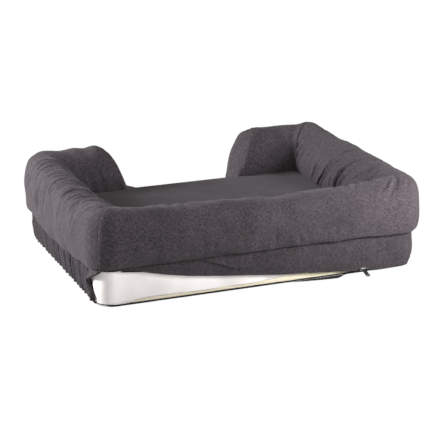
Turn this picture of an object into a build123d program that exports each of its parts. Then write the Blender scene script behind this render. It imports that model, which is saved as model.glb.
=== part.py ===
from build123d import *
from collections import namedtuple
from math import asin, atan2, cos, degrees, radians, sin, sqrt
import os

# Sofa-style pet bed: a foam base in a zipped cover, with a C-shaped stuffed bolster sewn on top.
# Millimetres, +Z up. The floor is z = 0 and the origin is the middle of the base's underside.
# -Y is the front with the entrance gap, +Y the rear with the zip, +X the right-hand side.

# Base block
base_length = 886
base_width = 652
base_height = 98
base_corner = 50
fabric = 2
bottom_fabric = 2
liner_fabric = 1.5
liner_hem_height = 21
seam_clearance = 0.3
support_height = 45
front_room = 2.3
side_room = 5.3

# Sleeping panel
crown_height = 27
crown_margin = 2

# Side band pleats
pleat_count = 28
pleat_depth = 3

# Bolster roll
roll_width = 100
roll_overhang = 18
turn_room = 20
lip_clearance = 1
least_droop = 1.5
rear_corner_height = 148
right_front_height = 142
left_front_height = 152
rear_sag = 21
left_arm_rise = 1
right_arm_rise = -6
arm_droop = 18
fill_clearance = 0.3

# Front returns
right_return_end = 130
left_return_end = -146
outer_pinch = 14
inner_pinch = 30
right_return_taper = 100
left_return_taper = 78

# Zip
zip_height = 10
zip_tape_thickness = 0.8
zip_tape_width = 5.5
coil_thickness = 2.4
coil_height = 2.4
coil_gap = 0.1
coil_to_fabric = 0.2
stop_length = 4
tape_tail = 6
zip_end_margin = 2

# Zip slider
slider_rest_x = -279
slider_length = 14
slider_width = 10
slider_plate = 1.5
slider_clearance = 0.3
slider_lip = 0.8
post_length = 3
post_setback = 1

# Pull tab and its crown
crown_bar_radius = 0.7
crown_leg_width = 1.4
crown_reach = 2.8
knuckle_bore_clearance = 0.1
knuckle_wall = 0.8
knuckle_width = 4.4
knuckle_side_clearance = 0.3
tab_thickness = 1.3
tab_width = 11
tab_neck = 3.6
tab_reach = 34
tab_hole_radius = 2.1
tab_hole_inset = 5.5
tab_corner = 3
tab_floor_clearance = 0.6

# Lifted flap
flap_start_clearance = 0.5
notch_clearance = 1.5

# Sizes worked out from the ones above
half_length = base_length / 2
half_width = base_width / 2
deck_under = base_height - fabric
core_length = half_length - base_corner
core_width = half_width - base_corner
overrun = 2 * base_height
tape_face = half_width - fabric - coil_to_fabric - coil_thickness / 2
plate_inside = coil_thickness / 2 + slider_clearance
slider_back = tape_face - plate_inside - slider_plate
slider_front = tape_face + plate_inside + slider_plate
liner_rear = slider_back - seam_clearance
liner_front = -half_width + front_room
liner_side = half_length - side_room
liner_corner = base_corner - side_room
liner_middle = (liner_rear + liner_front) / 2
liner_depth = liner_rear - liner_front
turn_depth = roll_width - roll_overhang + turn_room
turn_length = half_length - turn_depth
turn_width = half_width - turn_depth
turn_reach = turn_depth - base_corner
slider_bottom = zip_height - slider_width / 2
slider_top = zip_height + slider_width / 2

os.makedirs("parts", exist_ok=True)


def save(built, name):
    """Name a finished sub-part and write it to its own file."""
    built.part.label = name
    export_step(built.part, f"parts/{name}.step")


def rounded_slab(bottom, top):
    """The base's outline as a slab from bottom to top."""
    with BuildPart() as slab:
        with BuildSketch(Plane.XY.offset(bottom)):
            RectangleRounded(base_length, base_width, base_corner)
        extrude(amount=top - bottom)
    return slab


def band_ring():
    """The base's upright fabric wall, all the way round."""
    with BuildPart() as ring:
        with BuildSketch(Plane.XY.offset(bottom_fabric)):
            RectangleRounded(base_length, base_width, base_corner)
            RectangleRounded(
                base_length - 2 * fabric,
                base_width - 2 * fabric,
                base_corner - fabric,
                mode=Mode.SUBTRACT,
            )
        extrude(amount=deck_under - bottom_fabric)
    return ring


def liner_block(bottom, top, inset):
    """The foam's outline, drawn in by inset, as a block from bottom to top."""
    with BuildPart() as block:
        with BuildSketch(Plane((0, liner_middle, bottom))):
            RectangleRounded(
                2 * (liner_side - inset), liner_depth - 2 * inset, liner_corner - inset
            )
        extrude(amount=top - bottom)
    return block


# Bottom panel
bottom_panel = rounded_slab(0, bottom_fabric)
save(bottom_panel, "bottom_panel")

# Foam core: a support slab below and a memory slab above
foam_inset = liner_fabric + seam_clearance
support_top = bottom_fabric + support_height
liner_top = deck_under - liner_fabric
support_foam = liner_block(bottom_fabric, support_top, foam_inset)
save(support_foam, "support_foam")
memory_foam = liner_block(support_top, liner_top, foam_inset)
save(memory_foam, "memory_foam")

# White liner over the foam, open below, with its hem short of the floor
with BuildPart() as foam_liner:
    add(liner_block(liner_hem_height, deck_under, 0).part)
    add(liner_block(liner_hem_height, liner_top, liner_fabric).part, mode=Mode.SUBTRACT)
save(foam_liner, "foam_liner")

# Sleeping panel: the whole deck, crowned between the bolsters and out to the entrance
well_half_x = half_length - roll_width + roll_overhang - crown_margin
well_half_y = half_width - roll_width + roll_overhang - crown_margin
crown_arc_shares = [
    ((0.0, 0.0), (0.035, 0.48), (0.13, 0.80)),
    ((0.13, 0.80), (0.5, 1.0), (0.87, 0.80)),
    ((0.87, 0.80), (0.965, 0.48), (1.0, 0.0)),
]


def crown_profile(plane, first, last):
    """The sleeping panel's crown in outline, from first to last along the plane's x axis."""
    with BuildSketch(plane) as profile:
        with BuildLine():
            for arc in crown_arc_shares:
                points = [
                    (first + along * (last - first), base_height + up * crown_height)
                    for along, up in arc
                ]
                ThreePointArc(*points)
            Line((last, base_height), (first, base_height))
        make_face()
    return profile.sketch


with BuildPart() as sleeping_panel:
    extrude(crown_profile(Plane.XZ, -well_half_x, well_half_x), amount=base_width, both=True)
    extrude(
        crown_profile(Plane.YZ, -half_width, well_half_y),
        amount=base_length,
        both=True,
        mode=Mode.INTERSECT,
    )
    with BuildSketch(Plane.XY.offset(base_height)):
        with Locations((right_return_end - crown_margin, -well_half_y)):
            Rectangle(base_length, base_width, align=(Align.MIN, Align.MAX))
        with Locations((left_return_end + crown_margin, -well_half_y)):
            Rectangle(base_length, base_width, align=(Align.MAX, Align.MAX))
    extrude(amount=overrun, mode=Mode.SUBTRACT)
    add(rounded_slab(deck_under, base_height).part)
save(sleeping_panel, "sleeping_panel")

# Front band, with both front corners
with BuildPart() as front_band:
    add(band_ring().part)
    with Locations((0, -half_width, base_height / 2)):
        Box(base_length + overrun, 2 * base_corner, overrun, mode=Mode.INTERSECT)
save(front_band, "front_band")

# Left band, the straight stretch
with BuildPart() as left_band:
    add(band_ring().part)
    with Locations((-half_length, 0, base_height / 2)):
        Box(2 * base_corner, 2 * core_width, overrun, mode=Mode.INTERSECT)
save(left_band, "left_band")

# Right band: the fabric gathered into upright pleats
pleat_pitch = 2 * core_width / pleat_count
valley = half_length - pleat_depth
with BuildPart() as right_band:
    with BuildSketch(Plane.XY.offset(bottom_fabric)):
        with BuildLine():
            for pleat in range(pleat_count):
                pleat_start = -core_width + pleat * pleat_pitch
                ThreePointArc(
                    (valley, pleat_start),
                    (half_length, pleat_start + pleat_pitch / 2),
                    (valley, pleat_start + pleat_pitch),
                )
            Polyline(
                (valley, core_width),
                (valley - fabric, core_width),
                (valley - fabric, -core_width),
                (valley, -core_width),
            )
        make_face()
    extrude(amount=deck_under - bottom_fabric)
save(right_band, "right_band")

# Rear band: the closed stretch and its corner, with a notch over the slider
notch_left = slider_rest_x - slider_length / 2 - stop_length - notch_clearance
notch_right = slider_rest_x + slider_length / 2 + notch_clearance
notch_top = slider_top + notch_clearance
with BuildPart() as rear_band:
    add(band_ring().part)
    with BuildSketch(Plane.XY):
        with Locations((notch_right, core_width)):
            Rectangle(base_length, base_width, align=(Align.MAX, Align.MIN))
    extrude(amount=overrun, mode=Mode.INTERSECT)
    with BuildSketch(Plane.XZ.offset(-core_width)):
        with Locations((notch_left, 0)):
            Rectangle(notch_right - notch_left, notch_top, align=(Align.MIN, Align.MIN))
    extrude(amount=-base_width, mode=Mode.SUBTRACT)
save(rear_band, "rear_band")

# Compass headings of the four sides, and the turn from a side to the mitre at its corner
right_heading = 0
rear_heading = 90
left_heading = 180
front_heading = 270
mitre_angle = 45

# Bolster: a station is one cross-section on an upright plane that turns about a line inside the
# well. Lean is its turn from square to the side, height is above the deck, droop is how far the
# outer lip hangs over the band, and pinch_share is how far a return's end has drawn its sides in.
Station = namedtuple("Station", "x y heading lean height droop pinch_share")

# The roll's cross-section from its outer side over the ridge to its inner foot, across and up
side_outer_share = (1.0, 0.40)
roll_arc_shares = [
    ((0.945, 0.73), (0.78, 0.925)),
    ((0.51, 1.0), (0.23, 0.93)),
    ((0.055, 0.74), (0.0, 0.42)),
    ((0.04, 0.225), (0.14, 0.0)),
]
# The lip's rounding passes through this place between the lip and the outer side
lip_middle_share = (0.72, 0.28)


def heading_plane(x, y, heading):
    """The upright plane from a line at x and y, its local x along the heading and its local y up."""
    outward = Vector(cos(radians(heading)), sin(radians(heading)), 0)
    return Plane(
        origin=(x, y, base_height),
        x_dir=outward,
        z_dir=outward.cross(Vector(0, 0, 1)),
    )


def reach(lean, outward):
    """Distance from the turning line to the base's outline, grown by outward, at a lean."""
    across = cos(radians(lean))
    along = sin(radians(lean))
    straight = (turn_depth + outward) / across
    if straight * along <= turn_reach:
        return straight
    radius = base_corner + outward
    middle = turn_reach * (across + along)
    return middle + sqrt(middle**2 - 2 * turn_reach**2 + radius**2)


def roll_section(station, inset=0):
    """The roll's closed cross-section at one station, drawn in by inset all round."""
    inner = -roll_width + roll_overhang + station.pinch_share * inner_pinch + inset
    outer = roll_overhang - station.pinch_share * outer_pinch - inset
    low = inset
    high = station.height - inset

    def place(share):
        across, up = share
        return (
            reach(station.lean, inner + across * (outer - inner)),
            low + up * (high - low),
        )

    side = place(side_outer_share)
    foot = place(roll_arc_shares[-1][1])
    edge = (reach(station.lean, lip_clearance - inset), low)
    lip = edge if inset else (edge[0], low - station.droop)
    across, up = lip_middle_share
    rounding = (lip[0] + across * (side[0] - lip[0]), lip[1] + up * (side[1] - lip[1]))
    with BuildSketch(heading_plane(station.x, station.y, station.heading)) as section:
        with BuildLine():
            if lip != edge:
                Line(edge, lip)
            ThreePointArc(lip, rounding, side)
            start = side
            for middle, end in roll_arc_shares:
                ThreePointArc(start, place(middle), place(end))
                start = place(end)
            Line(foot, edge)
        make_face()
    return section.sketch


# How far a side's swell has grown at each section of its corner, from the mitre to the straight
fan_swell_shares = [0.0, 0.05, 0.18, 0.40]


def corner_fan(x_side, y_side, heading, turn, height, swell, droop):
    """Stations from a corner's mitre round to the straight side that faces heading."""
    fan = []
    for step, grown in enumerate(fan_swell_shares):
        around = radians(mitre_angle * (1 - step / (len(fan_swell_shares) - 1)))
        lean = degrees(
            atan2(
                turn_reach + base_corner * sin(around),
                turn_reach + base_corner * cos(around),
            )
        )
        fan.append(
            Station(
                x_side * turn_length,
                y_side * turn_width,
                heading + turn * lean,
                lean,
                height + grown * swell,
                least_droop + grown * (droop - least_droop),
                0,
            )
        )
    return fan


# Places along a straight side between two turning lines, and how far its swell has grown there
swell_shares = [(0.0, 0.66), (0.25, 0.88), (0.5, 1.0), (0.75, 0.88), (1.0, 0.66)]


def side_stations(start, end, heading, first_height, last_height, swell, droop):
    """Stations between two corners, swelling or sagging by swell at the middle."""
    return [
        Station(
            start[0] + place * (end[0] - start[0]),
            start[1] + place * (end[1] - start[1]),
            heading,
            0,
            first_height + place * (last_height - first_height) + grown * swell,
            least_droop + grown * (droop - least_droop),
            0,
        )
        for place, grown in swell_shares
    ]


# Distance from a return's end as a share of its taper, and the height there as a share of the full
return_end_shares = [
    (1.0, 1.0),
    (0.85, 0.95),
    (0.65, 0.82),
    (0.45, 0.58),
    (0.25, 0.33),
    (0.0, 0.045),
]
# How many of a return's last stations are too thin to hold any filling
unfilled_count = 2


def return_stations(side, end, taper, height):
    """Stations of a front return from its full height to the low seam that closes its end."""
    return [
        Station(
            end + side * place * taper,
            -turn_width,
            front_heading,
            0,
            share * height,
            least_droop,
            1 - place,
        )
        for place, share in return_end_shares
    ]


rear_stations = (
    corner_fan(-1, 1, rear_heading, 1, rear_corner_height, -rear_sag, least_droop)
    + side_stations(
        (-turn_length, turn_width),
        (turn_length, turn_width),
        rear_heading,
        rear_corner_height,
        rear_corner_height,
        -rear_sag,
        least_droop,
    )
    + corner_fan(1, 1, rear_heading, -1, rear_corner_height, -rear_sag, least_droop)[::-1]
)
right_arm_stations = (
    corner_fan(1, 1, right_heading, 1, rear_corner_height, right_arm_rise, arm_droop)
    + side_stations(
        (turn_length, turn_width),
        (turn_length, -turn_width),
        right_heading,
        rear_corner_height,
        right_front_height,
        right_arm_rise,
        arm_droop,
    )
    + corner_fan(1, -1, right_heading, -1, right_front_height, right_arm_rise, arm_droop)[::-1]
)
left_arm_stations = (
    corner_fan(-1, 1, left_heading, -1, rear_corner_height, left_arm_rise, least_droop)
    + side_stations(
        (-turn_length, turn_width),
        (-turn_length, -turn_width),
        left_heading,
        rear_corner_height,
        left_front_height,
        left_arm_rise,
        least_droop,
    )
    + corner_fan(-1, -1, left_heading, 1, left_front_height, left_arm_rise, least_droop)[::-1]
)
right_return_stations = corner_fan(
    1, -1, front_heading, 1, right_front_height, 0, least_droop
) + return_stations(1, right_return_end, right_return_taper, right_front_height)
left_return_stations = corner_fan(
    -1, -1, front_heading, -1, left_front_height, 0, least_droop
) + return_stations(-1, left_return_end, left_return_taper, left_front_height)


def loft_sides(sections, capped):
    """The skin of a ruled loft, without the flat ends that are listed as open in capped."""
    solid = Solid.make_loft([section.face().outer_wire() for section in sections], ruled=True)
    open_ends = [section.face().center() for section in capped]
    return [
        face
        for face in solid.faces()
        if all((face.center() - end).length > seam_clearance for end in open_ends)
    ]


def make_roll(name, stations, filled):
    """One length of bolster: its fabric cover, open at the mitres, and its loose filling."""
    outside = [roll_section(station) for station in stations]
    inside = [roll_section(station, fabric) for station in filled]
    mitres = (0, -1) if len(filled) == len(stations) else (0,)
    skin = loft_sides(outside, [outside[end] for end in mitres])
    lining = loft_sides(inside, [inside[end] for end in mitres])
    rims = [(outside[end] - inside[end]).face() for end in mitres]
    with BuildPart() as cover:
        add(Solid(Shell(skin + lining + rims)), clean=False)
    save(cover, f"{name}_cover")
    with BuildPart() as filling:
        loft(
            [roll_section(station, fabric + fill_clearance) for station in filled],
            ruled=True,
            clean=False,
        )
    save(filling, f"{name}_filling")


make_roll("rear_bolster", rear_stations, rear_stations)
make_roll("right_arm", right_arm_stations, right_arm_stations)
make_roll("left_arm", left_arm_stations, left_arm_stations)
make_roll("right_return", right_return_stations, right_return_stations[:-unfilled_count])
make_roll("left_return", left_return_stations, left_return_stations[:-unfilled_count])

# Zip line: the stop closes the tapes at the left, and both end at the right rear corner
stop_right = slider_rest_x - slider_length / 2
stop_left = stop_right - stop_length
tape_start = stop_left - tape_tail
coil_bottom = zip_height - coil_gap / 2 - coil_height
coil_top = zip_height + coil_gap / 2 + coil_height


def zip_strip(start, bottom, top, thickness):
    """An upright strip of the zip along the rear and round the right rear corner."""
    outer = half_width - tape_face - thickness / 2
    with BuildPart() as strip:
        with BuildSketch(Plane.XY.offset(bottom)):
            RectangleRounded(
                base_length - 2 * outer, base_width - 2 * outer, base_corner - outer
            )
            inner = outer + thickness
            RectangleRounded(
                base_length - 2 * inner,
                base_width - 2 * inner,
                base_corner - inner,
                mode=Mode.SUBTRACT,
            )
            with Locations((start, core_width)):
                Rectangle(
                    base_length,
                    base_width,
                    align=(Align.MIN, Align.MIN),
                    mode=Mode.INTERSECT,
                )
        extrude(amount=top - bottom)
    return strip


zip_tape_lower = zip_strip(tape_start, bottom_fabric, coil_bottom, zip_tape_thickness)
save(zip_tape_lower, "zip_tape_lower")
zip_coil_lower = zip_strip(stop_right, coil_bottom, coil_bottom + coil_height, coil_thickness)
save(zip_coil_lower, "zip_coil_lower")

# Stop at the zip's left end
with BuildPart() as zip_stop:
    with Locations((stop_left, tape_face, coil_bottom)):
        Box(
            stop_length,
            coil_thickness,
            coil_top - coil_bottom,
            align=(Align.MIN, Align.CENTER, Align.MIN),
        )
save(zip_stop, "zip_stop")

# Upper tape and coil: they lift with the flap about a pivot beside the slider
pivot_x = slider_rest_x + slider_length / 2 + flap_start_clearance
coil_end_x = core_length - zip_end_margin - post_setback - post_length - slider_clearance
flap_reach = coil_end_x - pivot_x
tape_top = coil_top + zip_tape_width
lift_angle = degrees(asin((deck_under - tape_top - seam_clearance) / flap_reach))
flap_direction = Vector(cos(radians(lift_angle)), 0, sin(radians(lift_angle)))
flap_plane = Plane(
    origin=(pivot_x, tape_face, zip_height),
    x_dir=flap_direction,
    z_dir=(0, -1, 0),
)
with BuildPart() as zip_coil_upper:
    with BuildSketch(flap_plane):
        with Locations((0, coil_gap / 2)):
            Rectangle(flap_reach, coil_height, align=(Align.MIN, Align.MIN))
    extrude(amount=coil_thickness / 2, both=True)
save(zip_coil_upper, "zip_coil_upper")
with BuildPart() as zip_tape_upper:
    with BuildSketch(flap_plane):
        with Locations((0, coil_gap / 2 + coil_height)):
            Rectangle(flap_reach, zip_tape_width, align=(Align.MIN, Align.MIN))
    extrude(amount=zip_tape_thickness / 2, both=True)
save(zip_tape_upper, "zip_tape_upper")

# Slider: two plates on a post, lipped over the tapes, with a crown in front for the pull
slider_right = slider_rest_x + slider_length / 2
pivot_y = slider_front + crown_reach
leg_inside = knuckle_width / 2 + knuckle_side_clearance
lip_reach = plate_inside - zip_tape_thickness / 2 - slider_clearance
with BuildPart() as zip_slider:
    for plate_y, plate_side in ((slider_back, Align.MIN), (slider_front, Align.MAX)):
        with Locations((slider_rest_x, plate_y, zip_height)):
            Box(
                slider_length,
                slider_plate,
                slider_width,
                align=(Align.CENTER, plate_side, Align.CENTER),
            )
    for lip_y, lip_side in (
        (slider_back + slider_plate, Align.MIN),
        (slider_front - slider_plate, Align.MAX),
    ):
        for lip_z, lip_end in ((slider_bottom, Align.MIN), (slider_top, Align.MAX)):
            with Locations((slider_rest_x, lip_y, lip_z)):
                Box(
                    slider_length,
                    lip_reach,
                    slider_lip,
                    align=(Align.CENTER, lip_side, lip_end),
                )
    with Locations((slider_right - post_setback, tape_face, zip_height + coil_gap / 2)):
        Box(
            post_length,
            2 * plate_inside,
            coil_height,
            align=(Align.MAX, Align.CENTER, Align.MIN),
        )
    for side in (-1, 1):
        with BuildSketch(Plane.YZ.offset(slider_rest_x + side * (leg_inside + crown_leg_width / 2))):
            with Locations((pivot_y, zip_height)):
                Circle(crown_leg_width)
            with Locations((slider_front, zip_height)):
                Rectangle(crown_reach, 2 * crown_leg_width, align=(Align.MIN, Align.CENTER))
        extrude(amount=crown_leg_width / 2, both=True)
    with BuildSketch(Plane.YZ.offset(slider_rest_x)):
        with Locations((pivot_y, zip_height)):
            Circle(crown_bar_radius)
    extrude(amount=leg_inside, both=True)
save(zip_slider, "zip_slider")

# Pull tab: a knuckle round the crown's bar, a neck and a flat tab that leans out to the floor
tab_drop = zip_height - tab_floor_clearance - tab_thickness / 2
tab_angle = asin(tab_drop / tab_reach)
tab_plane = Plane(
    origin=(slider_rest_x, pivot_y, zip_height),
    x_dir=(0, cos(tab_angle), -sin(tab_angle)),
    z_dir=(0, sin(tab_angle), cos(tab_angle)),
)
knuckle_bore = crown_bar_radius + knuckle_bore_clearance
with BuildPart() as zip_pull:
    with BuildSketch(tab_plane):
        with Locations((tab_neck, 0)):
            Rectangle(
                tab_reach - tab_neck, tab_width, align=(Align.MIN, Align.CENTER)
            )
        fillet(vertices(), radius=tab_corner)
        Rectangle(
            tab_neck + tab_corner, knuckle_width, align=(Align.MIN, Align.CENTER)
        )
        with Locations((tab_reach - tab_hole_inset, 0)):
            Circle(tab_hole_radius, mode=Mode.SUBTRACT)
    extrude(amount=tab_thickness / 2, both=True)
    with BuildSketch(Plane.YZ.offset(slider_rest_x)):
        with Locations((pivot_y, zip_height)):
            Circle(knuckle_bore + knuckle_wall)
    extrude(amount=knuckle_width / 2, both=True)
    with BuildSketch(Plane.YZ.offset(slider_rest_x)):
        with Locations((pivot_y, zip_height)):
            Circle(knuckle_bore)
    extrude(amount=knuckle_width / 2, both=True, mode=Mode.SUBTRACT)
save(zip_pull, "zip_pull")

# Rear flap: the unzipped band, lifted to the bolster and gathered into two long folds.
# Each place is a share of the straight stretch, then the hem's height as a share of the deck's.
flap_hem_shares = [
    (0.0, 0.06),
    (0.10, 0.12),
    (0.27, 0.245),
    (0.44, 0.345),
    (0.57, 0.45),
    (0.69, 0.56),
    (0.78, 0.67),
    (0.87, 0.80),
    (0.93, 0.905),
    (1.0, 0.945),
]
flap_corner_share = 0.95
# The folds' bulge as a share of the flap's drop, where the flap starts, ends and turns the corner
start_bulge_share = 0.009
end_bulge_share = 0.07
corner_bulge_share = 0.15
# Headings of the flap's sections round the corner, as shares of the turn to the right-hand side
flap_turn_shares = [0.25, 0.5, 0.75, 1.0]
# Down the flap from its seam, and out from its plane as a share of the bulge, one fold a row
fold_shares = [
    ((0.0, 0.0), (0.24, 1.0), (0.48, 0.3)),
    ((0.48, 0.3), (0.76, 0.9), (1.0, 0.35)),
]


def flap_section(x, heading, hem, bulge_share):
    """The flap's upright cross-section: two folds of fabric between its seam and its hem."""
    seam = deck_under - base_height
    drop = deck_under - hem
    bulge = bulge_share * drop

    def place(share, back):
        down, out = share
        return (base_corner + out * bulge - back, seam - down * drop)

    with BuildSketch(heading_plane(x, core_width, heading)) as section:
        with BuildLine():
            for back in (0, fabric):
                for start, middle, end in fold_shares:
                    ThreePointArc(place(start, back), place(middle, back), place(end, back))
            first, last = fold_shares[0][0], fold_shares[-1][-1]
            Line(place(first, 0), place(first, fabric))
            Line(place(last, 0), place(last, fabric))
        make_face()
    return section.sketch


flap_left = notch_right + flap_start_clearance
flap_sections = []
for place, hem_share in flap_hem_shares:
    flap_sections.append(
        flap_section(
            flap_left + place * (core_length - flap_left),
            rear_heading,
            hem_share * deck_under,
            start_bulge_share + place * (end_bulge_share - start_bulge_share),
        )
    )
for share in flap_turn_shares:
    flap_sections.append(
        flap_section(
            core_length,
            rear_heading + share * (right_heading - rear_heading),
            flap_corner_share * deck_under,
            corner_bulge_share,
        )
    )
with BuildPart() as rear_flap:
    loft(flap_sections, ruled=True, clean=False)
save(rear_flap, "rear_flap")
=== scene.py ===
"""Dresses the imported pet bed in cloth, foam and zip pieces, and lights it for the photograph's view."""

import logging
from dataclasses import dataclass
from enum import Enum

import bpy
import numpy as np
from mathutils import Matrix, Vector

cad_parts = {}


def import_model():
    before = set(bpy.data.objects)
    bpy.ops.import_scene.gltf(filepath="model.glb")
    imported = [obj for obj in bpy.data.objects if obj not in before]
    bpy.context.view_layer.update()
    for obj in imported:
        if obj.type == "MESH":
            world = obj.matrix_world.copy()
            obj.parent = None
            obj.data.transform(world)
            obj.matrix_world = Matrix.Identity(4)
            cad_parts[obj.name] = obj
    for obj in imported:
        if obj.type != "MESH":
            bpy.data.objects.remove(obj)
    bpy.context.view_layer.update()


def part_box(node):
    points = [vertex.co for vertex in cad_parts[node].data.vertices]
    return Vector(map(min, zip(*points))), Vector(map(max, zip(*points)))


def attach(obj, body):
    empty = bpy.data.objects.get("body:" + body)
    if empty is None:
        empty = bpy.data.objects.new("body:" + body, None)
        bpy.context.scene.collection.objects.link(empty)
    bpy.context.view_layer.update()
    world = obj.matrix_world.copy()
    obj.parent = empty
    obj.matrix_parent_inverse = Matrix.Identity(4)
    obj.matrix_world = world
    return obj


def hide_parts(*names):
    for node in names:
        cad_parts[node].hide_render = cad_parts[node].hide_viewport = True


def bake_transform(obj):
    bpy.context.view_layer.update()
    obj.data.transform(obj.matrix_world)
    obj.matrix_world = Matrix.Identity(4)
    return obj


log = logging.getLogger("pet_bed")

MM = 0.001

# A line through (place, value) pairs, and three numbers of a place, a direction or a colour
Table = tuple[tuple[float, float], ...]
Triple = tuple[float, float, float]


class Side(Enum):
    """The base's four sides: outward direction, then the direction in which a roll on it is walked."""

    REAR = ((0, 1), (1, 0))
    RIGHT = ((1, 0), (0, -1))
    LEFT = ((-1, 0), (0, -1))
    FRONT_RIGHT = ((0, -1), (-1, 0))
    FRONT_LEFT = ((0, -1), (1, 0))

    @property
    def outward(self) -> np.ndarray:
        """The unit vector away from the bed."""
        return np.array(self.value[0], float)

    @property
    def along(self) -> np.ndarray:
        """The unit vector along the side."""
        return np.array(self.value[1], float)


# Sizes


@dataclass(frozen=True)
class BedSize:
    """The bed's main sizes in metres: the base from the CAD frame, the roll's as the part has them."""

    half_length: float
    half_width: float
    deck: float
    corner: float = 50 * MM
    roll_width: float = 100 * MM
    overhang: float = 18 * MM
    turn_room: float = 36 * MM
    cloth: float = 1.6 * MM

    @property
    def turn_depth(self) -> float:
        """From the base's edge in to the line that a roll's corner sections turn about."""
        return self.roll_width - self.overhang + self.turn_room

    @property
    def turn_reach(self) -> float:
        """From that line to the corner's own centre, along each side."""
        return self.turn_depth - self.corner


@dataclass(frozen=True)
class Outline:
    """The base's outline from above, walked from the middle of the rear side towards +X."""

    half_length: float
    half_width: float
    corner: float
    # How far the +X rear corner, where the zip lies open, stands out past its rounding, and over what
    # share of a turn it does so
    corner_fill: float = 0.0
    fill_spread: float = 0.75

    @property
    def core(self) -> tuple[float, float]:
        """Half sizes of the rectangle of the corners' centres."""
        return self.half_length - self.corner, self.half_width - self.corner

    def marks(self) -> np.ndarray:
        """Distances at which the walk passes from a straight to a corner and back."""
        core_x, core_y = self.core
        quarter = np.pi / 2 * self.corner
        steps = [core_x, quarter, 2 * core_y, quarter, 2 * core_x, quarter, 2 * core_y, quarter, core_x]
        return np.concatenate([[0], np.cumsum(steps)])

    def at(self, distance: np.ndarray, outward: np.ndarray | float) -> tuple[np.ndarray, np.ndarray]:
        """Places on the outline.

        Args:
            distance: How far along the outline, negative towards -X.
            outward: How far outside the outline.

        Returns:
            The x and y of each place: the point of the core rectangle, plus the corner's radius and
            outward along the heading there.
        """
        core_x, core_y = self.core
        marks = self.marks()
        walked = np.mod(distance, marks[-1])
        x = np.interp(walked, marks, core_x * np.array([0, 1, 1, 1, 1, -1, -1, -1, -1, 0]))
        y = np.interp(walked, marks, core_y * np.array([1, 1, 1, -1, -1, -1, -1, 1, 1, 1]))
        quarter_turns = np.interp(walked, marks, [1, 1, 0, 0, -1, -1, -2, -2, -3, -3])
        heading = quarter_turns * np.pi / 2
        nearest = np.mod(distance + marks[-1] / 2, marks[-1]) - marks[-1] / 2
        turned = (nearest - 0.5 * (marks[1] + marks[2])) / self.corner
        reach = self.corner + outward + self.corner_fill * np.exp(-((turned / self.fill_spread) ** 2))
        return x + reach * np.cos(heading), y + reach * np.sin(heading)


# Surfaces


@dataclass
class Surface:
    """A closed tube of points, stations by places round it, with its flat cloth coordinates."""

    points: np.ndarray
    cloth: np.ndarray

    def build(self, name: str, material: bpy.types.Material) -> bpy.types.Object:
        """Makes the object, with both ends of the tube closed and its faces outward.

        Args:
            name: The object's name.
            material: Its finish.

        Returns:
            The new object at the origin.
        """
        stations, places = self.points.shape[:2]
        index = np.arange(stations * places).reshape(stations, places)
        ring = np.concatenate([index, index[:, :1]], axis=1)
        quads = np.stack([ring[:-1, :-1], ring[:-1, 1:], ring[1:, 1:], ring[1:, :-1]], axis=-1)
        grid = np.arange(stations * (places + 1)).reshape(stations, places + 1)
        corners = np.stack([grid[:-1, :-1], grid[:-1, 1:], grid[1:, 1:], grid[1:, :-1]], axis=-1)
        low = np.arange(places // 2 - 1)
        high = places - 1 - low
        cap = np.stack([low, high, high - 1, low + 1], axis=-1)
        faces = np.concatenate([quads.reshape(-1, 4), index[0][cap], index[-1][cap[:, ::-1]]])
        corners = np.concatenate([corners.reshape(-1, 4), grid[0][cap], grid[-1][cap[:, ::-1]]])
        flat = self.cloth.reshape(-1, 2)[corners.ravel()].reshape(len(faces), -1, 2)
        return mesh_object(name, self.points.reshape(-1, 3), faces, flat, material, 2 * len(cap))


def mesh_object(
    name: str,
    points: np.ndarray,
    faces: np.ndarray,
    flat: np.ndarray,
    material: bpy.types.Material,
    caps: int = 0,
) -> bpy.types.Object:
    """Makes a mesh of equal-sided faces.

    Args:
        name: The object's name.
        points: Its vertices.
        faces: Rows of vertex numbers.
        flat: The cloth coordinates of each face's corners.
        material: Its finish.
        caps: How many of the last faces close the ends, and so stay flat-shaded.

    Returns:
        The new object, turned inside out first if its volume came out negative.
    """
    corners = points[faces]
    across = np.cross(corners[:, 1] - corners[:, 0], corners[:, 2] - corners[:, 0])
    volume = np.einsum("ij,ij->", corners[:, 0], across)
    if faces.shape[1] == 4:
        rest = np.cross(corners[:, 2] - corners[:, 0], corners[:, 3] - corners[:, 0])
        volume += np.einsum("ij,ij->", corners[:, 0], rest)
    if volume < 0:
        faces = faces[:, ::-1]
        flat = flat[:, ::-1]
    sides = faces.shape[1]
    mesh = bpy.data.meshes.new(name)
    mesh.vertices.add(len(points))
    mesh.vertices.foreach_set("co", points.astype(np.float32).ravel())
    mesh.loops.add(faces.size)
    mesh.loops.foreach_set("vertex_index", faces.astype(np.int32).ravel())
    mesh.polygons.add(len(faces))
    mesh.polygons.foreach_set("loop_start", np.arange(0, faces.size, sides, dtype=np.int32))
    layer = mesh.uv_layers.new(name="cloth")
    layer.data.foreach_set("uv", flat.astype(np.float32).ravel())
    mesh.polygons.foreach_set("use_smooth", np.arange(len(faces)) < len(faces) - caps)
    mesh.update(calc_edges=True)
    mesh.validate()
    mesh.materials.append(material)
    made = bpy.data.objects.new(name, mesh)
    bpy.context.scene.collection.objects.link(made)
    log.info("%s: %d faces", name, len(faces))
    return made


def flat_lengths(points: np.ndarray, along: np.ndarray) -> np.ndarray:
    """Cloth coordinates of a closed grid: the distance along it, and the way walked round it."""
    ring = np.concatenate([points, points[:, :1]], axis=1)
    steps = np.linalg.norm(np.diff(ring, axis=1), axis=2)
    around = np.concatenate([np.zeros((len(points), 1)), np.cumsum(steps, axis=1)], axis=1)
    return np.stack([np.broadcast_to(along[:, None], around.shape), around], axis=-1)


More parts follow.
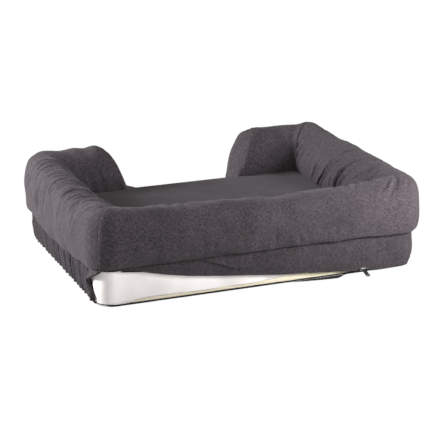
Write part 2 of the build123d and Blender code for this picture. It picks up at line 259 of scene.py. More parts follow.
def two_faced(
    outline: Outline,
    distance: np.ndarray,
    outward: np.ndarray,
    height: np.ndarray,
    depths: tuple[float, float],
    along: np.ndarray,
    turn: np.ndarray | float = 0.0,
) -> Surface:
    """A sheet of cloth by the outline, as a tube: its outer face down and its inner face back up.

    Args:
        outline: The outline that it follows.
        distance: How far along the outline each station stands.
        outward: How far outside the outline each place stands.
        height: Each place's height.
        depths: How far behind those places the outer and the inner face lie.
        along: Cloth coordinate of each station.
        turn: How far a station's face has turned from the outline's own direction.

    Returns:
        The sheet's surface.
    """
    layers = []
    for depth in depths:
        x, y = outline.at(distance + depth * np.sin(turn), outward - depth * np.cos(turn))
        layers.append(np.stack([x, y, height], axis=-1))
    points = np.concatenate([layers[0], layers[1][:, ::-1]], axis=1)
    return Surface(points, flat_lengths(points, along))


def path_axes(heading: np.ndarray) -> tuple[np.ndarray, np.ndarray, np.ndarray]:
    """Unit vectors along a path, out of it and up from it, from the path's headings."""
    along = heading / np.linalg.norm(heading, axis=1, keepdims=True)
    out = np.cross(along, (0.0, 0.0, 1.0))
    out /= np.linalg.norm(out, axis=1, keepdims=True)
    return along, out, np.cross(out, along)


def smooth_curve(knots: np.ndarray, count: int) -> np.ndarray:
    """A closed Catmull-Rom curve through the knots, as count places evenly spaced along it."""
    before, start, end, after = (np.roll(knots, shift, axis=0) for shift in (1, 0, -1, -2))
    between = 24
    share = np.linspace(0, 1, between, endpoint=False)[None, :, None]
    dense = 0.5 * (
        2 * start[:, None]
        + (end - before)[:, None] * share
        + (2 * before - 5 * start + 4 * end - after)[:, None] * share**2
        + (3 * start - before - 3 * end + after)[:, None] * share**3
    ).reshape(-1, knots.shape[1])
    ring = np.concatenate([dense, dense[:1]])
    steps = np.linalg.norm(np.diff(ring[:, :2], axis=0), axis=1)
    walked = np.concatenate([[0], np.cumsum(steps)])
    wanted = np.linspace(0, walked[-1], count, endpoint=False)
    return np.stack([np.interp(wanted, walked, ring[:, axis]) for axis in range(ring.shape[1])], axis=1)


def rising(value: np.ndarray, over: float | np.ndarray) -> np.ndarray:
    """A share that grows from 0 at zero to 1 at a distance."""
    return np.clip(value / over, 0, 1)


def falling(value: np.ndarray, over: float | np.ndarray) -> np.ndarray:
    """A share that fades from 1 at zero to 0 at a distance."""
    return np.clip(1 - value / over, 0, 1)


def profile(places: np.ndarray, table: Table) -> np.ndarray:
    """A smooth line through a table of (place, value) that never swings past its knots.

    Each stretch is a cubic. A knot's slope is the harmonic mean of its two neighbouring stretches'
    slopes, or zero where they differ in sign and at both ends.
    """
    knots = np.array(table)
    x, y = knots[:, 0], knots[:, 1]
    steep = np.diff(y) / np.diff(x)
    product = steep[:-1] * steep[1:]
    total = steep[:-1] + steep[1:]
    inner = np.where(product > 0, 2 * product / np.where(product > 0, total, 1), 0)
    slope = np.concatenate([[0], inner, [0]])
    spot = np.clip(np.searchsorted(x, places) - 1, 0, len(x) - 2)
    width = x[spot + 1] - x[spot]
    share = rising(places - x[spot], width)
    return (
        (1 + 2 * share) * (1 - share) ** 2 * y[spot]
        + share * (1 - share) ** 2 * width * slope[spot]
        + share**2 * (3 - 2 * share) * y[spot + 1]
        + share**2 * (share - 1) * width * slope[spot + 1]
    )


def ripples(
    along: np.ndarray,
    around: np.ndarray,
    longest: float,
    shortest: float,
    depth: float,
    count: int,
    seed: int,
) -> np.ndarray:
    """Soft unevenness: a sum of plane waves with seeded directions and phases.

    Args:
        along: Cloth coordinate along the piece.
        around: Cloth coordinate round it.
        longest: The longest wave.
        shortest: The shortest wave.
        depth: The sum's usual height.
        count: How many waves.
        seed: Start of the random numbers.

    Returns:
        The height at each place.
    """
    rng = np.random.default_rng(seed)
    turns = rng.uniform(0, np.pi, count)
    lengths = np.exp(rng.uniform(np.log(shortest), np.log(longest), count))
    starts = rng.uniform(0, 2 * np.pi, count)
    total = np.zeros(np.broadcast(along, around).shape)
    for turn, length, start in zip(turns, lengths, starts):
        total += np.sin(2 * np.pi * (along * np.cos(turn) + around * np.sin(turn)) / length + start)
    return depth * total / np.sqrt(count)


@dataclass(frozen=True)
class Gather:
    """A run of folds across a piece of cloth, where a seam draws it in.

    The folds are spread evenly from first to last, about a middle line round the piece, and reach
    out to both sides of it. Each draws its own share of the run's place, reach, width and depth.
    """

    # A fold's two shoulders: their height and place in the fold's widths, and their spread
    shoulder = 0.55
    shoulder_place = 1.25
    shoulder_spread = 0.5
    # The crease between them: its share of the width, and how sharply it falls in
    crease_width = 0.42
    crease_edge = 1.3
    # How far each fold's place, middle and slant stray, in pitches, in reaches and as it is
    stray_place = 0.35
    stray_middle = 0.3
    stray_slant = 0.15
    # Ranges of each fold's reach, width, depth and curve over the run's own
    reaches = (0.55, 1.15)
    widths = (0.8, 1.35)
    depths = (0.45, 1.15)
    curves = (0.7, 1.3)

    count: int
    first: float
    last: float
    middle: float
    reach: float
    width: float = 5 * MM
    depth: float = 2.6 * MM
    slant: float = 0.0
    curve: float = 0.0

    def height(self, along: np.ndarray, around: np.ndarray, seed: int) -> np.ndarray:
        """The folds' height: each is a sharp crease between two soft shoulders, fading at its ends."""
        rng = np.random.default_rng(seed)
        total = np.zeros(np.broadcast(along, around).shape)
        for number in range(self.count):
            share = (number + 0.5 + rng.uniform(-self.stray_place, self.stray_place)) / self.count
            place = self.first + share * (self.last - self.first)
            middle = self.middle + rng.uniform(-self.stray_middle, self.stray_middle) * self.reach
            reach = self.reach * rng.uniform(*self.reaches)
            width = self.width * rng.uniform(*self.widths)
            depth = self.depth * rng.uniform(*self.depths)
            slant = self.slant + rng.uniform(-self.stray_slant, self.stray_slant)
            curve = self.curve * rng.uniform(*self.curves)
            off = around - middle
            across = np.abs((along - place - slant * off - curve * off**2) / width)
            hills = self.shoulder * np.exp(-((across - self.shoulder_place) ** 2) / self.shoulder_spread)
            crease = np.exp(-((across / self.crease_width) ** self.crease_edge))
            total += depth * (hills - crease) * np.exp(-((off / reach) ** 4))
        return total


# Rolls

# The roll's section from its tucked seam over the outer side and the ridge to its inner foot:
# across from the inner edge, up from the deck, and how much of the lip's droop each place takes
SECTION_SHARES = (
    (0.858, 0.000, 0.10), (0.905, -0.005, 0.90), (0.948, 0.030, 1.00), (0.983, 0.150, 0.60),
    (1.000, 0.340, 0.20), (0.993, 0.530, 0.00), (0.953, 0.730, 0.00), (0.871, 0.880, 0.00),
    (0.741, 0.970, 0.00), (0.586, 1.000, 0.00), (0.400, 0.972, 0.00), (0.225, 0.885, 0.00),
    (0.095, 0.755, 0.00), (0.018, 0.590, 0.00), (0.000, 0.430, 0.00), (0.030, 0.260, 0.00),
    (0.100, 0.095, 0.00), (0.190, 0.000, 0.00), (0.420, 0.000, 0.00), (0.660, 0.000, 0.00),
)


@dataclass(frozen=True)
class Mitre:
    """How a seam at a corner draws the cloth in: on the outer face, and more over the top."""

    face: float
    top: float
    reach: float = 11 * MM

    def draw(self, away: np.ndarray, up: np.ndarray) -> np.ndarray:
        """The draw at a distance from the seam, growing from the face to the top with the height."""
        return (self.face + (self.top - self.face) * np.clip(up, 0, 1) ** 2) * np.exp(-away / self.reach)


@dataclass(frozen=True)
class RollPlan:
    """One length of bolster: its side, its shape along the side and its folds, in metres."""

    name: str
    side: Side
    ridge: Table
    droop: Table
    start: Mitre
    finish: Mitre | None = None
    end: float | None = None
    taper: Table = ((0.0, 1.0), (1.0, 1.0))
    bulge: Table = ((-1.0, 0.0), (1.0, 0.0))
    swell: Table = ((-1.0, 0.016), (1.0, 0.016))
    gathers: tuple[Gather, ...] = ()
    unevenness: float = 1.7 * MM
    fill: float = 0.7
    seed: int = 1


class Roll:
    """A stuffed length of bolster that stands for its cover and its filling."""

    step = 2.4 * MM
    places = 176
    # How far a return's end draws its inner and outer sides in, and over what distance from the end
    inner_pinch = 9 * MM
    outer_pinch = 58 * MM
    pinch_reach = 66 * MM
    # Over what distance from its ends the roll's folds and a return's droop fade
    fold_fade = 14 * MM
    droop_fade = 40 * MM
    # The share of the height over which folds fade in, and the share of the width from which the lip
    # has them too
    foot_fade = 0.2
    lip_from = 0.88
    lip_fade = 0.05
    # The unevenness: its longest and shortest wave, and how many
    longest_wave = 0.22
    shortest_wave = 0.05
    wave_count = 26

    def __init__(self, plan: RollPlan, size: BedSize) -> None:
        self.plan = plan
        self.size = size

    def lean_fan(self) -> np.ndarray:
        """Leans from square to the mitre, evenly spaced along the roll's outer edge."""
        reach = self.size.turn_reach
        radius = self.size.corner + self.size.overhang
        depth = self.size.turn_depth + self.size.overhang
        length = reach + radius * np.pi / 4
        walked = np.linspace(0, length, int(length / self.step) + 1)[1:]
        around = (walked - reach) / radius
        straight = np.arctan2(walked, depth)
        turned = np.arctan2(reach + radius * np.sin(around), reach + radius * np.cos(around))
        return np.where(walked <= reach, straight, turned)

    def reach(self, lean: np.ndarray, outward: np.ndarray) -> np.ndarray:
        """Distance from the turning line to the base's outline grown by outward, at a lean.

        Where the outline is straight it is the depth over the lean's cosine. Round the corner it is
        the far root of the ray's crossing with the corner's circle.
        """
        size = self.size
        across, along = np.cos(lean), np.sin(lean)
        straight = (size.turn_depth + outward) / across
        radius = np.maximum(size.corner + outward, 0)
        middle = size.turn_reach * (across + along)
        inside = np.maximum(middle**2 - 2 * size.turn_reach**2 + radius**2, 0)
        return np.where(straight * along <= size.turn_reach, straight, middle + np.sqrt(inside))

    def stations(self) -> tuple[np.ndarray, np.ndarray, np.ndarray]:
        """Turning points, signed leans and distances along the side of the roll's sections."""
        size, side = self.size, self.plan.side
        turn = np.array([size.half_length, size.half_width]) - size.turn_depth
        half = float(abs(turn @ side.along))
        fan = self.lean_fan()
        last = half if self.plan.end is None else self.plan.end
        straight = np.linspace(-half, last, int((half + last) / self.step) + 1)
        leans = np.concatenate([-fan[::-1], np.zeros(len(straight))])
        places = np.concatenate([np.full(len(fan), -half), straight])
        if self.plan.end is None:
            leans = np.concatenate([leans, fan])
            places = np.concatenate([places, np.full(len(fan), half)])
        foot = float(abs(turn @ side.outward)) * side.outward
        along = places + (size.turn_depth - size.corner) * np.tan(leans)
        return foot + places[:, None] * side.along, leans, along

    def pinch(self, left: np.ndarray) -> np.ndarray:
        """How far a return's sides have closed at a distance from its end: a quarter of an ellipse."""
        return 1 - np.sqrt(1 - falling(left, self.pinch_reach) ** 2)

    def surface(self) -> Surface:
        """The roll's skin.

        Each station's section is the table's closed curve, stretched to the roll's width and its
        height there, and set out along the station's lean. The seams' draw, the folds and the
        unevenness then move each place along its section's own normal, so that the end sections
        stay in their mitre planes.
        """
        plan, size = self.plan, self.size
        feet, leans, along = self.stations()
        section = smooth_curve(np.array(SECTION_SHARES), self.places)
        across, up, hang = section[None, :, 0], section[None, :, 1], section[None, :, 2]
        height = profile(along, plan.ridge)
        droop = profile(along, plan.droop)
        inner = size.overhang - size.roll_width - profile(along, plan.swell)
        outer = size.overhang + profile(along, plan.bulge)
        left = along[-1] - along
        if plan.end is not None:
            closed = self.pinch(left)
            height = height * profile(left, plan.taper)
            inner = inner + self.inner_pinch * closed
            outer = outer - self.outer_pinch * closed
            droop = droop * rising(left, self.droop_fade)
        outward = inner[:, None] + across * (outer - inner)[:, None]
        rise = up * height[:, None] - hang * droop[:, None]
        reach = self.reach(np.abs(leans)[:, None], outward)
        drawing = np.stack([reach, rise], axis=-1)
        cloth = flat_lengths(drawing, along)
        lift = self.lift(cloth[:, :-1, 0], cloth[:, :-1, 1], up, across, left)
        tangent = np.roll(drawing, -1, axis=1) - np.roll(drawing, 1, axis=1)
        tangent /= np.maximum(np.linalg.norm(tangent, axis=2, keepdims=True), 1e-9)
        drawing = drawing + lift[..., None] * np.stack([tangent[..., 1], -tangent[..., 0]], axis=-1)
        spread = np.cos(leans)[:, None] * plan.side.outward + np.sin(leans)[:, None] * plan.side.along
        ground = feet[:, None] + drawing[..., :1] * spread[:, None]
        points = np.concatenate([ground, size.deck + drawing[..., 1:]], axis=2)
        return Surface(points, cloth)

    def lift(
        self, along: np.ndarray, around: np.ndarray, up: np.ndarray, across: np.ndarray, left: np.ndarray
    ) -> np.ndarray:
        """How far each place of the skin stands out from the plain roll.

        Args:
            along: Cloth coordinate along the roll.
            around: Cloth coordinate round it.
            up: Height share of each place round the section.
            across: Width share of each place round the section.
            left: Distance to the roll's last station.

        Returns:
            The lift, faded out under the roll and towards both ends.
        """
        plan = self.plan
        waves = self.longest_wave, self.shortest_wave, plan.unevenness, self.wave_count
        total = ripples(along, around, *waves, plan.seed)
        for number, gather in enumerate(plan.gathers):
            total = total + gather.height(along, around, plan.seed * 31 + number)
        begun = (along - along[:1, :1]) * np.ones_like(total)
        rest = left[:, None] * np.ones_like(total)
        for end in (begun, rest):
            total = total * (1 - np.exp(-((end / self.fold_fade) ** 1.5)))
        total = total - plan.start.draw(begun, up)
        if plan.finish is not None:
            total = total - plan.finish.draw(rest, up)
        lip = rising(across - self.lip_from, self.lip_fade)
        return total * np.maximum(rising(up, self.foot_fade), lip)

    def build(self, material: bpy.types.Material) -> bpy.types.Object:
        made = self.surface().build(f"{self.plan.name}_roll", material)
        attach(made, "root")
        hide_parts(f"{self.plan.name}_cover", f"{self.plan.name}_filling")
        return made


# Each gather starts with its count, its first and last place along the roll, its middle line round the
# roll and its reach
ROLLS = (
    RollPlan(
        name="rear_bolster",
        side=Side.REAR,
        ridge=(
            (-0.393, 0.147), (-0.330, 0.139), (-0.268, 0.1335), (-0.162, 0.130), (-0.013, 0.1275),
            (0.108, 0.132), (0.268, 0.137), (0.330, 0.139), (0.368, 0.145), (0.393, 0.150),
        ),
        droop=(
            (-0.393, 0.003), (-0.335, 0.0025), (-0.270, -0.0025), (-0.222, -0.0025), (-0.190, 0.001),
            (-0.130, -0.005), (-0.092, -0.001), (-0.042, -0.008), (-0.008, -0.002), (0.050, -0.0025),
            (0.154, -0.010), (0.222, -0.0095), (0.257, -0.006), (0.320, -0.013), (0.393, 0.001),
        ),
        start=Mitre(face=3 * MM, top=3 * MM),
        finish=Mitre(face=0.0, top=1.5 * MM),
        gathers=(
            Gather(5, 0.25, 0.37, 0.205, 0.045, width=7 * MM, depth=4.0 * MM, slant=0.6),
            Gather(3, -0.39, -0.33, 0.160, 0.035, width=7 * MM, depth=5.5 * MM, slant=-0.6),
            Gather(5, -0.33, -0.24, 0.190, 0.04, width=8 * MM, depth=3.0 * MM, slant=-0.4),
            Gather(15, -0.33, 0.30, 0.200, 0.040, width=12 * MM, depth=3.2 * MM, slant=0.2),
            Gather(9, -0.36, 0.33, 0.035, 0.026, width=14 * MM, depth=1.7 * MM),
        ),
        seed=3,
    ),
    RollPlan(
        name="right_arm",
        side=Side.RIGHT,
        ridge=((-0.276, 0.150), (-0.15, 0.138), (0.0, 0.138), (0.11, 0.140), (0.18, 0.145), (0.276, 0.143)),
        droop=(
            (-0.276, 0.001), (-0.2, 0.010), (-0.09, 0.018), (0.05, 0.0215), (0.15, 0.020),
            (0.26, 0.012), (0.276, 0.012),
        ),
        bulge=((-0.276, 0.0), (-0.15, 0.002), (0.0, 0.005), (0.15, 0.005), (0.276, -0.002)),
        start=Mitre(face=0.0, top=1.5 * MM),
        finish=Mitre(face=2 * MM, top=2 * MM),
        gathers=(
            Gather(14, -0.29, -0.07, 0.200, 0.050, width=5 * MM, depth=5.0 * MM, slant=-0.7, curve=-2.0),
            Gather(12, -0.06, 0.24, 0.200, 0.050, width=5 * MM, depth=4.5 * MM, slant=-0.25, curve=-2.0),
            Gather(6, -0.20, 0.25, 0.130, 0.055, width=16 * MM, depth=3.0 * MM, slant=-0.3),
            Gather(12, -0.26, 0.26, 0.29, 0.05, width=7 * MM, depth=2.4 * MM),
        ),
        seed=5,
    ),
    RollPlan(
        name="left_arm",
        side=Side.LEFT,
        ridge=(
            (-0.276, 0.147), (-0.218, 0.142), (-0.121, 0.1475), (0.041, 0.148), (0.170, 0.148),
            (0.230, 0.151), (0.276, 0.156),
        ),
        droop=((-0.276, 0.003), (0.0, 0.006), (0.276, 0.005)),
        swell=((-0.276, 0.016), (-0.150, 0.024), (0.0, 0.027), (0.276, 0.027)),
        start=Mitre(face=3 * MM, top=3 * MM),
        finish=Mitre(face=3 * MM, top=2 * MM),
        gathers=(
            Gather(1, -0.066, -0.056, 0.295, 0.060, width=8 * MM, depth=11 * MM, slant=0.5, curve=2.0),
            Gather(1, 0.028, 0.038, 0.300, 0.065, width=8 * MM, depth=10 * MM, slant=0.75, curve=2.0),
            Gather(1, -0.015, -0.009, 0.320, 0.035, width=7 * MM, depth=8 * MM, slant=0.5, curve=2.0),
            Gather(1, 0.085, 0.095, 0.310, 0.050, width=9 * MM, depth=6 * MM, slant=0.8, curve=2.0),
            Gather(6, -0.22, 0.02, 0.250, 0.050, width=8 * MM, depth=4.5 * MM, slant=0.5, curve=2.0),
            Gather(4, 0.12, 0.24, 0.280, 0.050, width=10 * MM, depth=3.0 * MM, slant=0.5),
            Gather(10, -0.25, 0.25, 0.17, 0.045, width=8 * MM, depth=1.8 * MM),
        ),
        seed=8,
    ),
    RollPlan(
        name="right_return",
        side=Side.FRONT_RIGHT,
        ridge=((-0.393, 0.143), (-0.330, 0.140), (-0.285, 0.1395), (-0.250, 0.1435), (-0.130, 0.1435)),
        droop=((-0.393, 0.012), (-0.33, 0.005), (-0.13, 0.003)),
        swell=((-0.393, 0.016), (-0.330, 0.012), (-0.130, 0.010)),
        end=-0.130,
        taper=(
            (0.0, 0.08), (0.022, 0.10), (0.034, 0.15), (0.044, 0.27), (0.054, 0.47), (0.068, 0.69),
            (0.084, 0.85), (0.104, 0.96), (0.124, 1.0), (1.0, 1.0),
        ),
        start=Mitre(face=2 * MM, top=2 * MM),
        gathers=(
            Gather(5, -0.36, -0.24, 0.30, 0.06, width=10 * MM, depth=1.2 * MM, slant=0.2),
            Gather(6, -0.230, -0.160, 0.21, 0.05, width=5 * MM, depth=2.4 * MM, slant=0.9),
        ),
        seed=13,
    ),
    RollPlan(
        name="left_return",
        side=Side.FRONT_LEFT,
        ridge=((-0.393, 0.156), (-0.361, 0.150), (-0.296, 0.147), (-0.236, 0.151), (-0.146, 0.151)),
        droop=((-0.393, 0.005), (-0.146, 0.003)),
        swell=((-0.393, 0.027), (-0.330, 0.013), (-0.146, 0.010)),
        end=-0.146,
        taper=(
            (0.0, 0.08), (0.011, 0.18), (0.017, 0.42), (0.032, 0.67), (0.050, 0.87), (0.065, 0.95),
            (0.090, 1.0), (1.0, 1.0),
        ),
        start=Mitre(face=3 * MM, top=2 * MM),
        gathers=(
            Gather(4, -0.34, -0.24, 0.30, 0.06, width=11 * MM, depth=1.2 * MM, slant=0.2),
            Gather(5, -0.225, -0.175, 0.22, 0.05, width=5 * MM, depth=1.3 * MM, slant=0.9),
        ),
        seed=21,
    ),
)


# Walls

# How far a tuck at a corner's foot reaches along the wall and up it
TUCK_REACH = 50 * MM
TUCK_HEIGHT = 45 * MM


@dataclass(frozen=True)
class WallPlan:
    """An upright sheet of cloth along the outline: where it runs, how high, and how it is folded."""

    name: str
    start: float
    finish: float
    bottom: float
    top: float
    pleats: int = 0
    pleat_depth: float = 0.0
    belly: float = 2 * MM
    unevenness: float = 0.45 * MM
    tuck_start: float = 0.0
    tuck_finish: float = 0.0
    seed: int = 1


class Wall:
    """A sheet of cloth standing along the base's outline."""

    step = 3 * MM
    rows = 34
    # How the cloth is held, and its flat length over the length that it covers
    held = "stretched"
    fullness = 1.0
    # Ranges of the pleats' pitch and depth, their greatest lean, and their strength half way up and
    # what the seams add to it
    pitches = (0.55, 1.5)
    depths = (0.35, 1.0)
    most_lean = 4 * MM
    strengths = (0.7, 0.5)
    # The unevenness: its longest and shortest wave, and how many
    longest_wave = 0.16
    shortest_wave = 0.04
    wave_count = 22

    def __init__(self, plan: WallPlan, outline: Outline, thickness: float) -> None:
        self.plan = plan
        self.outline = outline
        self.thickness = thickness

    def pleats(self, distance: np.ndarray, share: np.ndarray) -> tuple[np.ndarray, np.ndarray]:
        """Each place's count of pleats passed, and the pleats' depth there, strongest at the seams."""
        plan = self.plan
        rng = np.random.default_rng(plan.seed)
        gaps = rng.uniform(*self.pitches, plan.pleats + 1)
        knots = plan.start + (plan.finish - plan.start) * np.cumsum(gaps) / gaps.sum()
        leans = rng.uniform(-self.most_lean, self.most_lean, len(knots))
        depths = plan.pleat_depth * rng.uniform(*self.depths, len(knots))
        swing = distance + (share - 0.5) * np.interp(distance, knots, leans)
        phase = np.interp(swing, knots, np.arange(len(knots)))
        middle, seams = self.strengths
        strength = np.interp(distance, knots, depths) * (middle + seams * np.abs(2 * share - 1) ** 1.5)
        return phase, strength

    def pleat_lift(self, distance: np.ndarray, share: np.ndarray) -> np.ndarray:
        """Upright folds of uneven pitch and depth that lean a little."""
        if not self.plan.pleats:
            return np.zeros(np.broadcast(distance, share).shape)
        phase, strength = self.pleats(distance, share)
        return -strength * np.abs(np.cos(np.pi * phase)) ** 0.8

    def shape(self, distance: np.ndarray, share: np.ndarray) -> tuple[np.ndarray, np.ndarray]:
        """How far each place stands outward, and its height."""
        plan = self.plan
        height = plan.bottom + share * (plan.top - plan.bottom)
        outward = plan.belly * (np.sin(np.pi * share) - 1) + self.pleat_lift(distance, share)
        waves = self.longest_wave, self.shortest_wave, plan.unevenness, self.wave_count
        outward = outward + ripples(distance, height, *waves, plan.seed + 50)
        tuck = plan.tuck_start * np.exp(-((distance - plan.start) / TUCK_REACH))
        tuck = tuck + plan.tuck_finish * np.exp(-((plan.finish - distance) / TUCK_REACH))
        outward = outward - tuck * falling(height, TUCK_HEIGHT) ** 2
        return outward, height * np.ones_like(outward)

    def surface(self) -> Surface:
        """The sheet from start to finish."""
        plan = self.plan
        count = int((plan.finish - plan.start) / self.step) + 1
        distance = np.linspace(plan.start, plan.finish, count)[:, None]
        share = np.linspace(1, 0, self.rows)[None]
        outward, height = self.shape(distance, share)
        return two_faced(self.outline, distance, outward, height, (0.0, self.thickness), distance[:, 0])

    def build(self, material: bpy.types.Material) -> bpy.types.Object:
        """Makes the wall on the fixed body and hides the solid that it stands for."""
        plan = self.plan
        made = self.surface().build(f"{plan.name}_cloth", material)
        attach(made, "root")
        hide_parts(plan.name)
        return made


class RightBand(Wall):
    """The gathered band on the +X side, whose free rear end flares out and curls in."""

    rows = 40
    step = 1.8 * MM
    held = "gathered"
    fullness = 1.36
    pitches = (0.45, 1.6)
    depths = (0.35, 1.15)
    most_lean = 7 * MM
    strengths = (0.8, 0.3)
    # How far the free end flares out, over what length, and the curl's radius and turn in radians
    flare = 11 * MM
    flare_length = 42 * MM
    curl = 7 * MM
    curl_turn = 2.6
    # How far the free end's seam edge sinks and its foot rises, and over what lengths
    end_slope = 3 * MM
    slope_length = 30 * MM
    end_lift = 11 * MM
    lift_length = 35 * MM
    # Over what length the gathers fade at each end
    fade = 20 * MM
    # How far the ridges between the furrows stand out, and where the liner stops a furrow
    stand = 5.0 * MM
    stop = -3.6 * MM
    # The smaller furrows between them: their depth, and how many to a furrow
    small_depth = 0.45
    small_count = 2.3
    # Where the free edge stands along the outline, and how far the cloth is tucked in, by height
    edge: Table = ((0.0, -0.014), (0.15, -0.012), (0.5, 0.018), (0.8, -0.020), (1.0, -0.040))
    tuck: Table = ((0.0, -0.0055), (0.25, -0.003), (0.6, 0.0), (0.85, 0.0), (1.0, -0.003))
    # How far it bows out half way up, by the distance past the curl
    bow: Table = ((0.0, 0.0), (0.30, 0.001), (0.42, 0.005), (0.50, 0.004), (0.552, 0.0))

    def pleat_lift(self, distance: np.ndarray, share: np.ndarray) -> np.ndarray:
        """Gathers as rounded ridges between narrow furrows, uneven in pitch, depth and lean."""
        phase, strength = self.pleats(distance, share)
        furrow = 1 - np.abs(np.sin(np.pi * phase)) ** 0.7
        small = self.small_depth * (1 - np.abs(np.sin(np.pi * self.small_count * phase))) ** 2
        faded = rising(self.plan.finish - distance, self.fade)
        return faded * np.maximum(self.stand - strength * np.maximum(furrow, small), self.stop)

    def surface(self) -> Surface:
        """The sheet along its own path: round the curl first, then along the outline."""
        plan = self.plan
        arc = self.curl * self.curl_turn
        share = np.linspace(1, 0, self.rows)[None]
        start = plan.start + profile(share, self.edge)
        length = arc + plan.finish - plan.start - self.curl
        walked = np.linspace(0, length, int(length / self.step) + 1)[:, None]
        turn = np.maximum(arc - walked, 0) / self.curl
        past = np.maximum(walked - arc, 0) * (plan.finish - start - self.curl) / (length - arc)
        distance = start + self.curl * (1 - np.sin(turn)) + past
        bend = rising(past, self.fade)
        relief, height = self.shape(distance, share * np.ones_like(distance))
        flare = self.flare * falling(past, self.flare_length) ** 2
        bow = profile(past, self.bow) * np.sin(np.pi * share)
        tuck = profile(share, self.tuck) * bend
        outward = relief * bend + flare - self.curl * (1 - np.cos(turn)) + bow + tuck
        height = height - self.end_slope * share * falling(past, self.slope_length) ** 1.5
        height = height + self.end_lift * (1 - share) * falling(past, self.lift_length) ** 1.5
        depths = 0.0, self.thickness
        return two_faced(self.outline, distance, outward, height, depths, walked[:, 0], turn)


@dataclass(frozen=True)
class FlapPlan:
    """One stretch of the rear band, in metres: its ends, its hem's height, its folds and puckers."""

    name: str
    start: float
    finish: float
    hem: Table
    seam: float = 96 * MM
    hinge_room: float = 5 * MM
    fold_line: Table = ((-1.0, 0.001), (1.0, 0.001))
    fold_depth: Table = ((-1.0, 0.0), (1.0, 0.0))
    # Each pucker's place, drop below the seam, width and depth in millimetres, and each tuck's place
    # and reach
    puckers: tuple[tuple[float, float, float, float], ...] = ()
    tucks: Table = ()
    hem_band: float = 16 * MM
    tuck: float = 0.0
    # Where the sheet starts to pass behind its neighbour
    lap_from: float = 1.0
    # Whether it is the open flap over the zip, whose pieces are baked in place rather than fixed to the
    # body
    opens: bool = False
    stitches_from: float = 0.0
    stitches_to: float = 0.0


CLOSED_BAND = FlapPlan(
    name="rear_band",
    start=-0.4715,
    finish=-0.2590,
    lap_from=-0.2738,
    hem=(
        (-0.4715, 0.001), (-0.303, 0.001), (-0.292, 0.0145), (-0.276, 0.0145), (-0.2715, 0.0150),
        (-0.2690, 0.0220), (-0.2590, 0.0300),
    ),
    puckers=((-0.415, 0.050, 4.0, 2.0), (-0.345, 0.030, 7.0, 1.2)),
    tuck=15 * MM,
    stitches_from=-0.465,
    stitches_to=-0.302,
)
OPEN_FLAP = FlapPlan(
    name="rear_flap",
    opens=True,
    start=-0.2712,
    finish=0.4704,
    hem=(
        (-0.2704, 0.0125), (-0.263, 0.0065), (-0.215, 0.0115), (-0.131, 0.0195), (-0.055, 0.0250),
        (0.043, 0.0366), (0.185, 0.0535), (0.239, 0.0625), (0.293, 0.0735), (0.366, 0.0898),
        (0.393, 0.0908), (0.4704, 0.0908),
    ),
    fold_line=(
        (0.02, 0.036), (0.0755, 0.036), (0.12, 0.020), (0.173, 0.0035), (0.35, 0.0025), (0.40, 0.002),
    ),
    fold_depth=(
        (0.02, 0.0), (0.07, 0.004), (0.12, 0.006), (0.18, 0.007), (0.30, 0.005), (0.38, 0.002),
        (0.42, 0.0),
    ),
    puckers=(
        (0.032, 0.012, 6.0, 2.6), (0.078, 0.037, 6.0, 3.0), (-0.052, 0.037, 5.0, 3.0),
        (-0.100, 0.016, 5.0, 1.6), (0.110, 0.012, 8.0, 2.0),
    ),
    tucks=(
        (-0.161, 0.010), (-0.020, 0.008), (-0.118, 0.012), (0.140, 0.010), (0.230, 0.012),
        (0.300, 0.009),
    ),
    stitches_from=-0.262,
    stitches_to=0.300,
)


